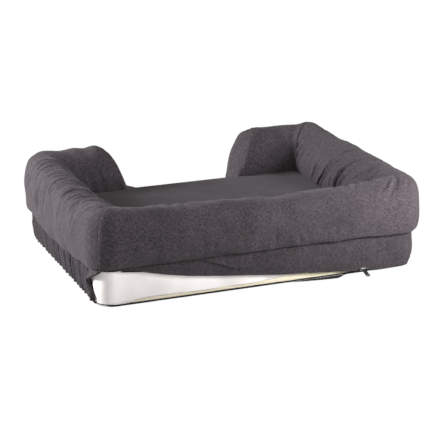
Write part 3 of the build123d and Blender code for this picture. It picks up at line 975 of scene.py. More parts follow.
class Flap:
    """A stretch of the rear band as one gathered sheet hung from its seam."""

    step = 2.5 * MM
    hinge_rows = 26
    cloth_rows = 50
    # How far the cloth bellies out, and over what drop below its seam
    belly = 3.0 * MM
    belly_drop = 95 * MM
    # How far the seam lies back under the roll's lip, over what drop, and how far the rest lies back
    recess = 5 * MM
    recess_drop = 5 * MM
    back = 1.5 * MM
    # How fast the long fold falls away below its line
    fold_fall = 3.0 * MM
    # A pucker's height over its width
    pucker_stretch = 2.2
    # The tucks at the seam: their width, their depth and their lean
    tuck_width = 2.6 * MM
    tuck_depth = 1.9 * MM
    tuck_lean = 0.15
    # How far a sheet lies behind its neighbour where the two lap, and over what length it gets there
    lap_depth = 2.1 * MM
    lap_length = 2.4 * MM
    # How far the hem band stands out, and the step that its edge makes
    band_lift = 1.1 * MM
    band_edge = 1.4 * MM
    # How deep the sheet has to be for all of that, and from what drop its unevenness is full
    band_depth = 50 * MM
    loose_drop = 10 * MM
    # The hem's two rows of stitches: their heights above the hem and their pitch
    stitch_rows = (13.5 * MM, 16.5 * MM)
    stitch_pitch = 3 * MM
    # How far they stand off the cloth
    stitch_lift = 0.1 * MM
    # The most of the cloth's depth that the rows by the hinge take up
    hinge_share = 0.96

    def __init__(self, plan: FlapPlan, outline: Outline, thickness: float) -> None:
        self.plan = plan
        self.outline = outline
        self.thickness = thickness

    def outward(self, distance: np.ndarray, drop: np.ndarray) -> np.ndarray:
        """How far the cloth stands out: a soft belly, the long fold, tucks, puckers and the hem."""
        plan = self.plan
        depth = plan.seam - profile(distance, plan.hem)
        swell = self.belly * np.sin(np.pi * rising(drop, self.belly_drop))
        line = profile(distance, plan.fold_line)
        size = profile(distance, plan.fold_depth)
        above = rising(drop, np.maximum(line, 1e-4)) ** 1.4
        below = np.exp(-np.maximum(drop - line, 0) / self.fold_fall)
        total = swell + size * np.where(drop < line, above, below)
        total = total - self.back - self.recess * np.exp(-drop / self.recess_drop)
        for place, below_seam, spread, hollow in plan.puckers:
            off = ((distance - place) / (spread * MM)) ** 2
            off = off + ((drop - below_seam) / (self.pucker_stretch * spread * MM)) ** 2
            total = total - hollow * MM * np.exp(-off) + 0.5 * hollow * MM * np.exp(-off / 4)
        for place, reach in plan.tucks:
            slip = (distance - place - self.tuck_lean * drop) / self.tuck_width
            total = total - self.tuck_depth * slip * np.exp(-(slip**2)) * np.exp(-((drop / reach) ** 2))
        tuck = plan.tuck * np.exp(-((distance - plan.start) / TUCK_REACH))
        total = total - tuck * falling(plan.seam - drop, TUCK_HEIGHT) ** 2
        lapped = rising(distance - plan.lap_from, self.lap_length)
        total = total - self.lap_depth * lapped * rising(drop, plan.hinge_room)
        loose = ripples(distance, drop, longest=0.15, shortest=0.03, depth=0.75 * MM, count=34, seed=17)
        total = total + loose * rising(drop, self.loose_drop)
        band = rising(drop - (depth - plan.hem_band), self.band_edge)
        return total + self.band_lift * band * rising(depth, self.band_depth)

    def grid(self) -> tuple[np.ndarray, np.ndarray]:
        """Distances along the sheet and drops below its seam."""
        plan = self.plan
        count = int((plan.finish - plan.start) / self.step) + 1
        distance = np.linspace(plan.start, plan.finish, count)[:, None]
        depth = plan.seam - profile(distance, plan.hem)
        hinge = np.linspace(0, plan.hinge_room, self.hinge_rows, endpoint=False)[None]
        hinge = hinge * np.ones_like(distance)
        rest = plan.hinge_room + np.linspace(0, 1, self.cloth_rows)[None] * (depth - plan.hinge_room)
        near = np.minimum(hinge, depth * self.hinge_share)
        return distance, np.concatenate([near, np.maximum(rest, hinge[:, -1:])], axis=1)

    def surface(self) -> Surface:
        """The sheet from start to finish, from the seam down to the hem."""
        distance, drop = self.grid()
        outward = self.outward(distance, drop)
        depths = 0.0, self.thickness
        return two_faced(self.outline, distance, outward, self.plan.seam - drop, depths, distance[:, 0])

    def line(self, above_hem: float, count: int) -> np.ndarray:
        """Points on the outer face at a height above the hem, for a row of stitches."""
        plan = self.plan
        distance = np.linspace(plan.stitches_from, plan.stitches_to, count)[:, None]
        depth = plan.seam - profile(distance, plan.hem)
        drop = np.maximum(depth - above_hem, plan.hinge_room)
        x, y = self.outline.at(distance, self.outward(distance, drop) + self.stitch_lift)
        return np.concatenate([x, y, plan.seam - drop], axis=1)

    def hold(self, made: bpy.types.Object) -> None:
        """Bakes a piece of the open flap in place, or fixes one of the closed stretch to the fixed body."""
        plan = self.plan
        if plan.opens:
            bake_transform(made)
        else:
            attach(made, "root")

    def build(self, material: bpy.types.Material, thread: bpy.types.Material) -> None:
        """Makes the sheet and its two rows of hem stitches."""
        plan = self.plan
        made = self.surface().build(f"{plan.name}_cloth", material)
        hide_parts(plan.name)
        self.hold(made)
        stitches = int((plan.stitches_to - plan.stitches_from) / self.stitch_pitch)
        for number, above in enumerate(self.stitch_rows):
            row = stitch_row(f"{plan.name}_hem_stitches_{number + 1}", self.line(above, stitches), thread)
            self.hold(row)


def stitch_row(name: str, path: np.ndarray, material: bpy.types.Material) -> bpy.types.Object:
    """A row of short thread pieces along a path.

    Args:
        name: The object's name.
        path: Points, one stitch between each two.
        material: The thread's finish.

    Returns:
        One object: each stitch is an eight-cornered bar over two thirds of its step.
    """
    gap, half_thick = 0.17, 0.5 * MM
    start = path[:-1] + gap * np.diff(path, axis=0)
    end = path[1:] - gap * np.diff(path, axis=0)
    _, out, rise = path_axes(end - start)
    corners = [
        end_point + side * half_thick * out + lift * half_thick * rise
        for end_point in (start, end)
        for side, lift in ((-1, -1), (1, -1), (1, 1), (-1, 1))
    ]
    points = np.stack(corners, axis=1)
    one = np.array([(0, 3, 2, 1), (4, 5, 6, 7), (0, 1, 5, 4), (1, 2, 6, 5), (2, 3, 7, 6), (3, 0, 4, 7)])
    faces = (np.arange(len(points))[:, None, None] * 8 + one[None]).reshape(-1, 4)
    flat = np.zeros((len(faces), 4, 2))
    return mesh_object(name, points.reshape(-1, 3), faces, flat, material)


# Core


@dataclass(frozen=True)
class Slab:
    """A flat block over a whole outline, with rounded edges: the backing and the foam."""

    # The solid that it stands for and its material slot
    node: str
    slot: str
    low: float
    high: float
    rounding: float
    inset: float
    places: int = 900

    def rings(self) -> list[tuple[float, float]]:
        """Its side in rings of (outward, height): a rounded edge, the wall and a rounded edge."""
        low, high, rounding, inset = self.low, self.high, self.rounding, self.inset
        turns = np.linspace(0, np.pi / 2, 6)
        bottom = [(-inset - rounding * (1 - np.sin(a)), low + rounding * (1 - np.cos(a))) for a in turns]
        top = [(-inset - rounding * (1 - np.cos(a)), high - rounding * (1 - np.sin(a))) for a in turns]
        middle = [(-inset, low + (high - low) * share) for share in (0.3, 0.5, 0.7)]
        return bottom + middle + top

    def build(
        self, name: str, outline: Outline, middle: float, size: BedSize, material: bpy.types.Material
    ) -> bpy.types.Object:
        """Makes the block on the fixed body and hides the solid that it stands for.

        Args:
            name: The object's name.
            outline: Its outline about its own middle.
            middle: How far its middle lies from the base's, along Y.
            size: The bed's sizes.
            material: Its finish.

        Returns:
            The new object.
        """
        distances = np.linspace(0, outline.marks()[-1], self.places, endpoint=False)
        rows = []
        for outward, height in self.rings():
            x, y = outline.at(distances, outward)
            rows.append(np.stack([x, y, np.full_like(x, height)], axis=-1))
        points = np.array(rows)
        along = np.cumsum(np.r_[0, np.linalg.norm(np.diff(points[:, 0], axis=0), axis=1)])
        surface = Surface(points, flat_lengths(points, along))
        points[..., 1] += middle
        tuck_in(points, size)
        made = surface.build(name, material)
        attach(made, "root")
        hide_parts(self.node)
        return made


BACKING = Slab("bottom_panel", "base_cloth", 0.0, 2 * MM, rounding=1 * MM, inset=5 * MM)
SUPPORT_FOAM = Slab("support_foam", "support_foam", 2.1 * MM, 46.9 * MM, rounding=2 * MM, inset=1.9 * MM)
MEMORY_FOAM = Slab("memory_foam", "memory_foam", 47.1 * MM, 93.9 * MM, rounding=4 * MM, inset=2.4 * MM)


@dataclass(frozen=True)
class Panel:
    """The sleeping panel: a flat sheet on the deck, crowned over the foam between the bolsters."""

    size: BedSize
    crown: float = 27 * MM
    # Over what distance the crown rises in the well and in the entrance
    rise: float = 62 * MM
    gate_rise: float = 140 * MM
    # How far in from the base's edge it starts, under the bolsters and at the entrance
    foot: float = 48 * MM
    room: float = 2 * MM
    entrance: tuple[float, float] = (-0.200, 0.185)
    # How softly its two swells blend, and the share that it loses towards the base's ends
    soft: float = 0.06
    sag: float = 0.06
    underside: float = 1.8 * MM
    edge_gap: float = 0.4 * MM
    # The crown's height at which its unevenness is full
    loose_from: float = 10 * MM
    step: float = 6 * MM
    # Its rings: how many, the first one's share of the outline, and how they crowd towards the edge
    rings: int = 80
    first_ring: float = 0.003
    crowding: float = 0.8

    def height(self, x: np.ndarray, y: np.ndarray) -> np.ndarray:
        """The crown: the higher of two swells, blended softly.

        Over the well it is a quarter of an ellipse from a line under the bolsters. Through the
        entrance it is a quarter of a sine wave from the base's front edge.
        """
        size, soft = self.size, self.soft
        side = size.half_length - self.foot - np.abs(x)
        rear = size.half_width - self.foot - y
        front = y + size.half_width
        first, last = self.entrance
        well = np.minimum(np.minimum(side, rear), front - self.foot)
        gate = np.minimum(np.minimum(x - first, last - x), np.minimum(rear, front - self.room))
        well_swell = np.sqrt(1 - (1 - rising(well, self.rise)) ** 2)
        gate_swell = np.sin(np.pi / 2 * rising(gate, self.gate_rise))
        excess = np.log(2) * np.exp(-(well_swell + gate_swell) / soft)
        higher = soft * (np.logaddexp(well_swell / soft, gate_swell / soft) - excess)
        return self.crown * (1 - self.sag * (x / size.half_length) ** 2) * np.clip(higher, 0, 1)

    def build(self, outline: Outline, material: bpy.types.Material) -> bpy.types.Object:
        """Makes the panel: rings of the outline from the middle out over the top and back below."""
        size = self.size
        marks = outline.marks()
        distances = np.linspace(0, marks[-1], int(marks[-1] / self.step), endpoint=False)
        shares = np.linspace(self.first_ring, 1, self.rings)[:, None] ** self.crowding
        edge_x, edge_y = outline.at(distances, -self.edge_gap)
        x = shares * edge_x
        y = shares * edge_y
        crown = self.height(x, y)
        loose = ripples(x, y, longest=0.22, shortest=0.06, depth=0.7 * MM, count=24, seed=41)
        top = size.deck + crown + loose * rising(crown, self.loose_from)
        bottom = np.full_like(top, size.deck - self.underside)
        upper = np.stack([x, y, top], axis=-1)
        lower = np.stack([x, y, bottom], axis=-1)[::-1]
        points = np.concatenate([upper, lower])
        cloth = np.concatenate([points, points[:, :1]], axis=1)[..., :2]
        made = Surface(points, cloth).build("sleeping_panel_cloth", material)
        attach(made, "root")
        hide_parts("sleeping_panel")
        return made


@dataclass(frozen=True)
class Liner:
    """The white liner over the foam, whose hem dips to the floor at the open corner."""

    size: BedSize
    # Where its rear, its front and its sides stand
    rear: float = 319.3 * MM
    front: float = -322.0 * MM
    side: float = 437.7 * MM
    corner: float = 44.7 * MM
    corner_fill: float = 8 * MM
    top: float = 95.5 * MM
    # How far its two faces lie inside its outline, and its top's thickness
    face_depths: tuple[float, float] = (0.6 * MM, 1.8 * MM)
    thickness: float = 1.4 * MM
    # The hem's height along the outline
    hem: Table = (
        (-2.0, 0.018), (-0.089, 0.0175), (0.042, 0.0095), (0.183, 0.0088), (0.295, 0.0115),
        (0.337, 0.0083), (0.375, 0.002), (0.52, 0.002), (0.60, 0.018), (4.0, 0.018),
    )
    # Where the open side's slackness is greatest along the outline, and how far it reaches
    slack_place: float = 0.15
    slack_reach: float = 0.45
    # The slack's bulge half way up, and its waves along the side
    bulge: float = 1.4 * MM
    wave: float = 0.35 * MM
    wave_length: float = 21 * MM
    # How far its top edge is drawn in, and how far all of it is
    top_draw: float = 3 * MM
    draw: float = 0.7 * MM
    step: float = 3.6 * MM
    rows: int = 30
    # The rings of its top: how many, and the shares of its outline from first to last
    lid_rings: int = 24
    lid_shares: tuple[float, float] = (0.985, 0.02)

    @property
    def middle(self) -> float:
        """How far its own middle lies from the base's, along Y."""
        return (self.rear + self.front) / 2

    def outline(self, corner_fill: float = 0.0) -> Outline:
        """The liner's outline about its own middle, with the open corner filled out if asked."""
        return Outline(self.side, (self.rear - self.front) / 2, self.corner, corner_fill)

    def hem_height(self, distance: np.ndarray) -> np.ndarray:
        """The hem's height along the outline: level, and down to the floor at the +X rear corner."""
        return profile(distance, self.hem)

    def outward(self, distance: np.ndarray, share: np.ndarray, height: np.ndarray) -> np.ndarray:
        """How far it stands out: slack waves on its open side, and drawn in at the top."""
        open_side = falling(np.abs(distance - self.slack_place), self.slack_reach) ** 0.5
        waves = self.bulge * np.sin(np.pi * share) + self.wave * np.sin(distance / self.wave_length)
        loose = ripples(distance, height, longest=0.20, shortest=0.05, depth=0.35 * MM, count=20, seed=61)
        return waves * open_side - self.top_draw * share**8 + loose * open_side - self.draw

    def build(self, material: bpy.types.Material) -> bpy.types.Object:
        """Makes the liner: up its outer face from the hem, in over the top, and back inside."""
        outline = self.outline()
        foot = self.outline(self.corner_fill)
        length = outline.marks()[-1]
        count = int(length / self.step)
        distance = np.linspace(-length / 2, length / 2, count, endpoint=False)[None]
        share = np.linspace(0, 1, self.rows)[:, None]
        hem = self.hem_height(distance)
        height = hem + share * (self.top - hem)
        outward = self.outward(distance, share, height)
        full = (1 - share) ** 0.8
        walls = []
        for depth in self.face_depths:
            upper = np.stack(outline.at(distance, outward - depth))
            lower = np.stack(foot.at(distance, outward - depth))
            walls.append(upper + full * (lower - upper))
        (x, y), (inside_x, inside_y) = walls
        ceiling = self.top - self.thickness
        outer = np.stack([x, y, height], axis=-1)
        inner = np.stack([inside_x, inside_y, np.minimum(height, ceiling)], axis=-1)[::-1]
        lids = []
        for level, direction in ((self.top, 1), (ceiling, -1)):
            shrink = np.linspace(*self.lid_shares, self.lid_rings)[::direction][:, None]
            flat = np.full_like(shrink * distance, level)
            lids.append(np.stack([shrink * x[-1], shrink * y[-1], flat], axis=-1))
        points = np.concatenate([outer, *lids, inner])
        points[..., 1] += self.middle
        tuck_in(points, self.size)
        faces = ring_faces(*points.shape[:2])
        cloth = np.stack([distance[0][faces % count], (faces // count) * self.step], axis=-1)
        made = mesh_object("foam_liner_cloth", points.reshape(-1, 3), faces, cloth, material)
        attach(made, "root")
        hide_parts("foam_liner")
        return made


# How far the core's low parts are drawn in: the +X side, then the -X rear corner along X and Y
SIDE_DRAW = 8 * MM
CORNER_DRAW = (14 * MM, 10 * MM)
# Where the +X side's open corner starts, and over what length the draw fades before it
OPEN_FROM = 0.27
OPEN_FADE = 0.04
# The share of the deck's height that is drawn in
LOW_SHARE = 0.55
# Where the draw starts, as shares of the base's half sizes: the +X side, then the corner along X and Y
SIDE_FROM, SIDE_FADE = 0.85, 0.1
CORNER_FROM = (0.8, 0.6)


def tuck_in(points: np.ndarray, size: BedSize) -> None:
    """Draws the core's low parts in: the +X side short of its open corner, and the -X rear corner."""
    x = points[..., 0] / size.half_length
    y = points[..., 1]
    low = falling(points[..., 2], LOW_SHARE * size.deck)
    side = rising(x - SIDE_FROM, SIDE_FADE) * rising(OPEN_FROM - y, OPEN_FADE) * low
    closed = low
    for place, start in zip((-x, y / size.half_width), CORNER_FROM):
        closed = closed * rising(place - start, 1 - start)
    points[..., 0] += CORNER_DRAW[0] * closed - SIDE_DRAW * side
    points[..., 1] -= CORNER_DRAW[1] * closed


def ring_faces(rows: int, places: int) -> np.ndarray:
    """Quads of a grid that closes on itself both ways, as rows of point numbers."""
    index = np.arange(rows * places).reshape(rows, places)
    down = np.roll(index, -1, axis=0)
    quads = np.stack([index, np.roll(index, -1, axis=1), np.roll(down, -1, axis=1), down], axis=-1)
    return quads.reshape(-1, 4)


# Zip


@dataclass(frozen=True)
class ZipLine:
    """The zip's lower side along the floor, from the slider round the open corner, in metres.

    The tape stands a fixed distance behind the base's middle, its foot just above the floor. Its top
    edge and how far that leans out vary along it.
    """

    start: float = -0.296
    finish: float = 0.478
    tape: float = 322.6 * MM
    bottom: float = 0.4 * MM
    top: Table = (
        (-0.30, 0.0075), (-0.265, 0.0085), (-0.24, 0.0058), (-0.20, 0.0056), (-0.14, 0.0042),
        (-0.08, 0.0040), (0.30, 0.0040), (0.38, 0.0060), (0.478, 0.0060),
    )
    lean: Table = (
        (-0.30, 0.0), (-0.268, 0.001), (-0.225, 0.012), (-0.19, 0.030), (-0.15, 0.024), (-0.10, 0.016),
        (-0.04, 0.004), (0.10, 0.003), (0.25, 0.004), (0.33, 0.008), (0.40, 0.004), (0.478, 0.003),
    )
    half_thick: float = 0.4 * MM
    step: float = 3 * MM
    rows: int = 9
    # The teeth's pitch, how far from the tape's start the first one stands, and how far out of the
    # tape and over its edge they all do
    tooth_pitch: float = 1.5 * MM
    tooth_margin: float = 12 * MM
    tooth_out: float = 0.6 * MM
    tooth_up: float = 0.4 * MM

    def tape_surface(self, outline: Outline, half_width: float) -> Surface:
        """The tape as a thin closed strip that leans out where it lies slack."""
        count = int((self.finish - self.start) / self.step) + 1
        distance = np.linspace(self.start, self.finish, count)[:, None]
        share = np.linspace(1, 0, self.rows)[None]
        height = self.bottom + share * (profile(distance, self.top) - self.bottom)
        out = self.tape - half_width + profile(distance, self.lean) * share**0.8
        loose = ripples(distance, height, longest=0.12, shortest=0.04, depth=0.25 * MM, count=14, seed=71)
        depths = -self.half_thick, self.half_thick
        return two_faced(outline, distance, out + loose, height, depths, distance[:, 0])

    def teeth(self, outline: Outline, half_width: float) -> np.ndarray:
        """The coil's line along the tape's top edge."""
        count = int((self.finish - self.start - self.tooth_margin) / self.tooth_pitch)
        distance = np.linspace(self.start + self.tooth_margin, self.finish, count)
        out = self.tape - half_width + profile(distance, self.lean) + self.tooth_out
        x, y = outline.at(distance, out)
        return np.stack([x, y, profile(distance, self.top) + self.tooth_up], axis=1)


def tooth_row(name: str, path: np.ndarray, material: bpy.types.Material) -> bpy.types.Object:
    """A coil's teeth: one small rounded bar across the path at each of its points."""
    along, out, rise = path_axes(np.gradient(path, axis=0))
    half_length, half_width = 0.42 * MM, 1.1 * MM
    sides = 6
    # Four rings of a tooth from its foot up: their height and their share of its girth
    levels = ((-1.1 * MM, 0.55), (-0.7 * MM, 1.0), (0.7 * MM, 1.0), (1.15 * MM, 0.5))
    corners = []
    for lift, girth in levels:
        for angle in np.linspace(0, 2 * np.pi, sides, endpoint=False):
            ahead = np.cos(angle) * half_length * girth * along
            aside = np.sin(angle) * half_width * girth * out
            corners.append(path + ahead + aside + lift * rise)
    points = np.stack(corners, axis=1)
    faces = [(3, 2, 1, 0), (0, 5, 4, 3), (18, 19, 20, 21), (21, 22, 23, 18)]
    for ring in range(len(levels) - 1):
        for spot in range(sides):
            first, second = ring * sides + spot, ring * sides + (spot + 1) % sides
            faces.append((first, second, second + sides, first + sides))
    whole = (np.arange(len(points))[:, None, None] * len(corners) + np.array(faces)[None]).reshape(-1, 4)
    return mesh_object(name, points.reshape(-1, 3), whole, np.zeros((len(whole), 4, 2)), material)


# Finishes


@dataclass(frozen=True)
class ClothFinish:
    """A woven finish: its dark and light yarns, how bold its relief is, its sheen and roughness."""

    name: str
    dark: Triple
    light: Triple
    bump: float = 0.5
    sheen: float = 0.12
    roughness: float = 0.92


CHARCOAL = ClothFinish("bolster_cloth", (0.016, 0.0128, 0.015), (0.090, 0.075, 0.084), sheen=0.06)
# The bands' cloth: the bolster's charcoal cloth darkened by about a fifth, as painted shade from the
# bolsters' overhang above the bands
SHADED_BAND = ClothFinish("band_cloth", (0.0125, 0.010, 0.0118), (0.072, 0.060, 0.067), sheen=0.06)
PANEL = ClothFinish("panel_cloth", (0.034, 0.029, 0.0325), (0.058, 0.050, 0.055), bump=0.25, sheen=0.05)
UNDERSIDE = ClothFinish("base_cloth", (0.006, 0.006, 0.006), (0.016, 0.015, 0.016), sheen=0.03)
TAPE = ClothFinish("zip_tape", (0.004, 0.004, 0.004), (0.012, 0.011, 0.012), sheen=0.02)
LINER = ClothFinish("liner_cloth", (0.86, 0.81, 0.79), (0.91, 0.87, 0.855), bump=0.12, sheen=0.05)
# The foams' colours
BEIGE = (0.88, 0.80, 0.60)
CREAM = (0.85, 0.82, 0.74)

# The shader's inputs by the short names that the finishes use
SHADER_INPUTS = {
    "colour": "Base Color",
    "metal": "Metallic",
    "roughness": "Roughness",
    "gloss": "Specular IOR Level",
    "sheen": "Sheen Weight",
    "sheen_roughness": "Sheen Roughness",
    "sheen_tint": "Sheen Tint",
}
# What a node's input may be fed with
Feed = bpy.types.NodeSocket | float | tuple[float, float, float, float]


class NodeMaker:
    """Adds and joins the shader nodes of one material."""

    def __init__(self, name: str) -> None:
        self.material = bpy.data.materials.new(name)
        self.material.use_nodes = True
        self.tree = self.material.node_tree
        self.shader = self.tree.nodes["Principled BSDF"]

    def add(self, kind: str, values: dict | None = None, **settings) -> bpy.types.Node:
        """A node of a kind, with its settings and its sockets' constants."""
        node = self.tree.nodes.new(kind)
        for name, value in settings.items():
            setattr(node, name, value)
        for name, value in (values or {}).items():
            node.inputs[name].default_value = value
        return node

    def join(self, start: bpy.types.NodeSocket, finish: bpy.types.NodeSocket) -> None:
        """Links an output to an input."""
        self.tree.links.new(start, finish)

    def feed(self, socket: bpy.types.NodeSocket, value: Feed) -> None:
        """Links an input to another socket or gives it a constant."""
        if isinstance(value, bpy.types.NodeSocket):
            self.join(value, socket)
        else:
            socket.default_value = value

    def mix(self, factor: Feed, first: Feed, second: Feed, blend: str = "MIX") -> bpy.types.NodeSocket:
        """A colour mix."""
        node = self.add("ShaderNodeMix", data_type="RGBA", blend_type=blend)
        for number, value in ((0, factor), (6, first), (7, second)):
            self.feed(node.inputs[number], value)
        return node.outputs[2]

    def math(self, operation: str, first: Feed, second: Feed) -> bpy.types.NodeSocket:
        """A calculation on two numbers."""
        node = self.add("ShaderNodeMath", operation=operation)
        self.feed(node.inputs[0], first)
        self.feed(node.inputs[1], second)
        return node.outputs[0]

    def texture(self, kind: str, place: bpy.types.NodeSocket, **values: float) -> bpy.types.Node:
        """A texture over the coordinates from a socket, with its inputs' constants."""
        constants = {name.capitalize(): value for name, value in values.items()}
        node = self.add(f"ShaderNodeTex{kind}", constants)
        self.join(place, node.inputs["Vector"])
        return node

    def spread(self, value: bpy.types.NodeSocket, **ends: float) -> bpy.types.NodeSocket:
        """A number spread from one range to another, each from 0 to 1 where it isn't given."""
        constants = {name.replace("_", " ").title(): end for name, end in ends.items()}
        node = self.add("ShaderNodeMapRange", constants)
        self.join(value, node.inputs["Value"])
        return node.outputs[0]

    def surface(self, **values: Feed) -> None:
        """Feeds the shader's own inputs."""
        for name, value in values.items():
            self.feed(self.shader.inputs[SHADER_INPUTS[name]], value)

    def bump(self, height: bpy.types.NodeSocket, strength: float, distance: float) -> None:
        """Gives the material a relief."""
        node = self.add("ShaderNodeBump", {"Strength": strength, "Distance": distance})
        self.join(height, node.inputs["Height"])
        self.join(node.outputs[0], self.shader.inputs["Normal"])


def rgba(colour: Triple) -> tuple[float, float, float, float]:
    """A colour with full alpha."""
    return (*colour, 1.0)


def cloth_material(finish: ClothFinish) -> bpy.types.Material:
    """A woven cloth: warp and weft streaks in cloth coordinates, heather and patches from noise."""
    make = NodeMaker(finish.name)
    flat = make.add("ShaderNodeUVMap", uv_map="cloth").outputs[0]
    space = make.add("ShaderNodeTexCoord").outputs["Object"]
    # How many times a metre a thread's streaks change along it and across it
    along, across = 150.0, 620.0
    noises = []
    for scale in ((along, across, 1.0), (across, along, 1.0)):
        stretch = make.add("ShaderNodeMapping", {"Scale": scale})
        make.join(flat, stretch.inputs["Vector"])
        noises.append(make.texture("Noise", stretch.outputs[0], scale=1.0, detail=1.5, roughness=0.6))
    noises.append(make.texture("Noise", space, scale=380.0, detail=2.0, roughness=0.65))
    noises.append(make.texture("Noise", space, scale=130.0, detail=2.0, roughness=0.6))
    # The two streaks' and the two noises' shares of the weave
    warp, weft, fine, middle = (
        make.math("MULTIPLY", noise.outputs["Fac"], share)
        for noise, share in zip(noises, (0.3, 0.3, 0.22, 0.18))
    )
    weave = make.math("ADD", make.math("ADD", warp, weft), make.math("ADD", fine, middle))
    fleck = make.spread(weave, from_min=0.39, from_max=0.63)
    coarse = make.texture("Noise", space, scale=9.0, detail=2.0).outputs["Fac"]
    patch = make.spread(coarse, from_min=0.3, from_max=0.7, to_min=0.88, to_max=1.12)
    yarn = make.mix(fleck, rgba(finish.dark), rgba(finish.light))
    make.surface(
        colour=make.mix(1.0, yarn, patch, blend="MULTIPLY"),
        roughness=finish.roughness,
        gloss=0.2,
        sheen=finish.sheen,
        sheen_roughness=0.5,
        sheen_tint=(0.85, 0.8, 0.84, 1.0),
    )
    make.bump(weave, strength=finish.bump, distance=0.6 * MM)
    return make.material


def foam_material(name: str, colour: Triple) -> bpy.types.Material:
    """Open-cell foam: pitted, with painted shade darkening the pits and a slight unevenness of colour."""
    make = NodeMaker(name)
    space = make.add("ShaderNodeTexCoord").outputs["Object"]
    cells = make.texture("Voronoi", space, scale=600.0).outputs["Distance"]
    cloud = make.texture("Noise", space, scale=30.0, detail=3.0).outputs["Fac"]
    # The cells' hollows are darkened as painted shade; the clouds are the foam's own uneven tone
    painted_pit_shade = make.spread(cells, from_max=0.6, to_min=0.72, to_max=1.05)
    clouds = make.spread(cloud, to_min=0.88, to_max=1.08)
    pit_shade_and_clouds = make.math("MULTIPLY", painted_pit_shade, clouds)
    make.surface(colour=make.mix(1.0, rgba(colour), pit_shade_and_clouds, blend="MULTIPLY"), roughness=0.95, gloss=0.2)
    make.bump(cells, strength=0.4, distance=0.5 * MM)
    return make.material


def metal_material(name: str) -> bpy.types.Material:
    """Gunmetal plating with fine wear in its colour, its shine and its relief."""
    make = NodeMaker(name)
    space = make.add("ShaderNodeTexCoord").outputs["Object"]
    wear = make.texture("Noise", space, scale=900.0, detail=4.0, roughness=0.65).outputs["Fac"]
    make.surface(
        colour=make.mix(wear, (0.16, 0.16, 0.165, 1), (0.30, 0.295, 0.29, 1)),
        metal=1.0,
        roughness=make.spread(wear, from_min=0.3, from_max=0.7, to_min=0.24, to_max=0.42),
    )
    make.bump(wear, strength=0.1, distance=0.05 * MM)
    return make.material


def nylon_material(name: str) -> bpy.types.Material:
    """Black nylon with a dull shine."""
    make = NodeMaker(name)
    space = make.add("ShaderNodeTexCoord").outputs["Object"]
    grain = make.texture("Noise", space, scale=700.0, detail=2.0).outputs["Fac"]
    colour = make.mix(grain, (0.008, 0.008, 0.008, 1), (0.02, 0.019, 0.02, 1))
    make.surface(colour=colour, roughness=0.75, gloss=0.15)
    return make.material


# Stage


@dataclass(frozen=True)
class View:
    """The photograph's camera, solved from the base's edges: metres, and millimetres for its lens."""

    place: Triple = (1.4397, 3.5596, 1.3047)
    look: Triple = (-0.3572, -0.8840, -0.3014)
    lens: float = 122.78
    sensor: float = 36.0

    def build(self) -> None:
        """Makes the camera, level with the horizon."""
        forward = Vector(self.look).normalized()
        right = forward.cross(Vector((0, 0, 1))).normalized()
        up = right.cross(forward)
        turn = Matrix((right, up, -forward)).transposed().to_4x4()
        data = bpy.data.cameras.new("camera")
        data.lens = self.lens
        data.sensor_width = self.sensor
        data.clip_end = 50
        camera = bpy.data.objects.new("camera", data)
        camera.matrix_world = Matrix.Translation(self.place) @ turn
        bpy.context.scene.collection.objects.link(camera)
        bpy.context.scene.camera = camera


@dataclass(frozen=True)
class SoftBox:
    """A rectangular light that faces a point."""

    name: str
    place: Triple
    aim: Triple
    size: float
    power: float

    def build(self) -> None:
        """Makes the light."""
        data = bpy.data.lights.new(self.name, "AREA")
        data.size = self.size
        data.energy = self.power
        made = bpy.data.objects.new(self.name, data)
        made.location = self.place
        made.rotation_euler = (Vector(self.aim) - Vector(self.place)).to_track_quat("-Z", "Y").to_euler()
        bpy.context.scene.collection.objects.link(made)


LIGHTS = (
    SoftBox("key", (2.2, -0.85, 0.95), (0.3, 0, 0.1), size=0.8, power=118),
    SoftBox("rear", (-0.60, 0.76, 0.42), (-0.35, 0.3, 0.12), size=0.25, power=9),
    SoftBox("fill", (0.1, 2.5, 1.0), (0, 0.3, 0.10), size=1.0, power=23),
    SoftBox("top", (0.2, -0.1, 2.6), (0, 0, 0), size=1.2, power=24),
)

# The even light from all round, below the white that the camera sees
WORLD_LIGHT = 0.17
# The floor's half width and its level, a little below the bed
FLOOR_REACH = 12.0
FLOOR_LEVEL = -0.5 * MM


def floor_material() -> bpy.types.Material:
    """A pale floor that the camera and mirrors see as plain white."""
    make = NodeMaker("floor_paint")
    space = make.add("ShaderNodeTexCoord").outputs["Object"]
    grain = make.texture("Noise", space, scale=3.0).outputs["Fac"]
    make.surface(colour=make.mix(grain, (0.34, 0.34, 0.34, 1), (0.36, 0.36, 0.36, 1)), roughness=0.9)
    glow = make.add("ShaderNodeEmission", {"Color": (1, 1, 1, 1), "Strength": 1.0})
    path = make.add("ShaderNodeLightPath")
    seen = make.math("MAXIMUM", path.outputs["Is Camera Ray"], path.outputs["Is Glossy Ray"])
    share = make.math("MAXIMUM", seen, path.outputs["Is Transmission Ray"])
    blend = make.add("ShaderNodeMixShader")
    make.join(share, blend.inputs[0])
    make.join(make.shader.outputs[0], blend.inputs[1])
    make.join(glow.outputs[0], blend.inputs[2])
    make.join(blend.outputs[0], make.tree.nodes["Material Output"].inputs["Surface"])
    return make.material


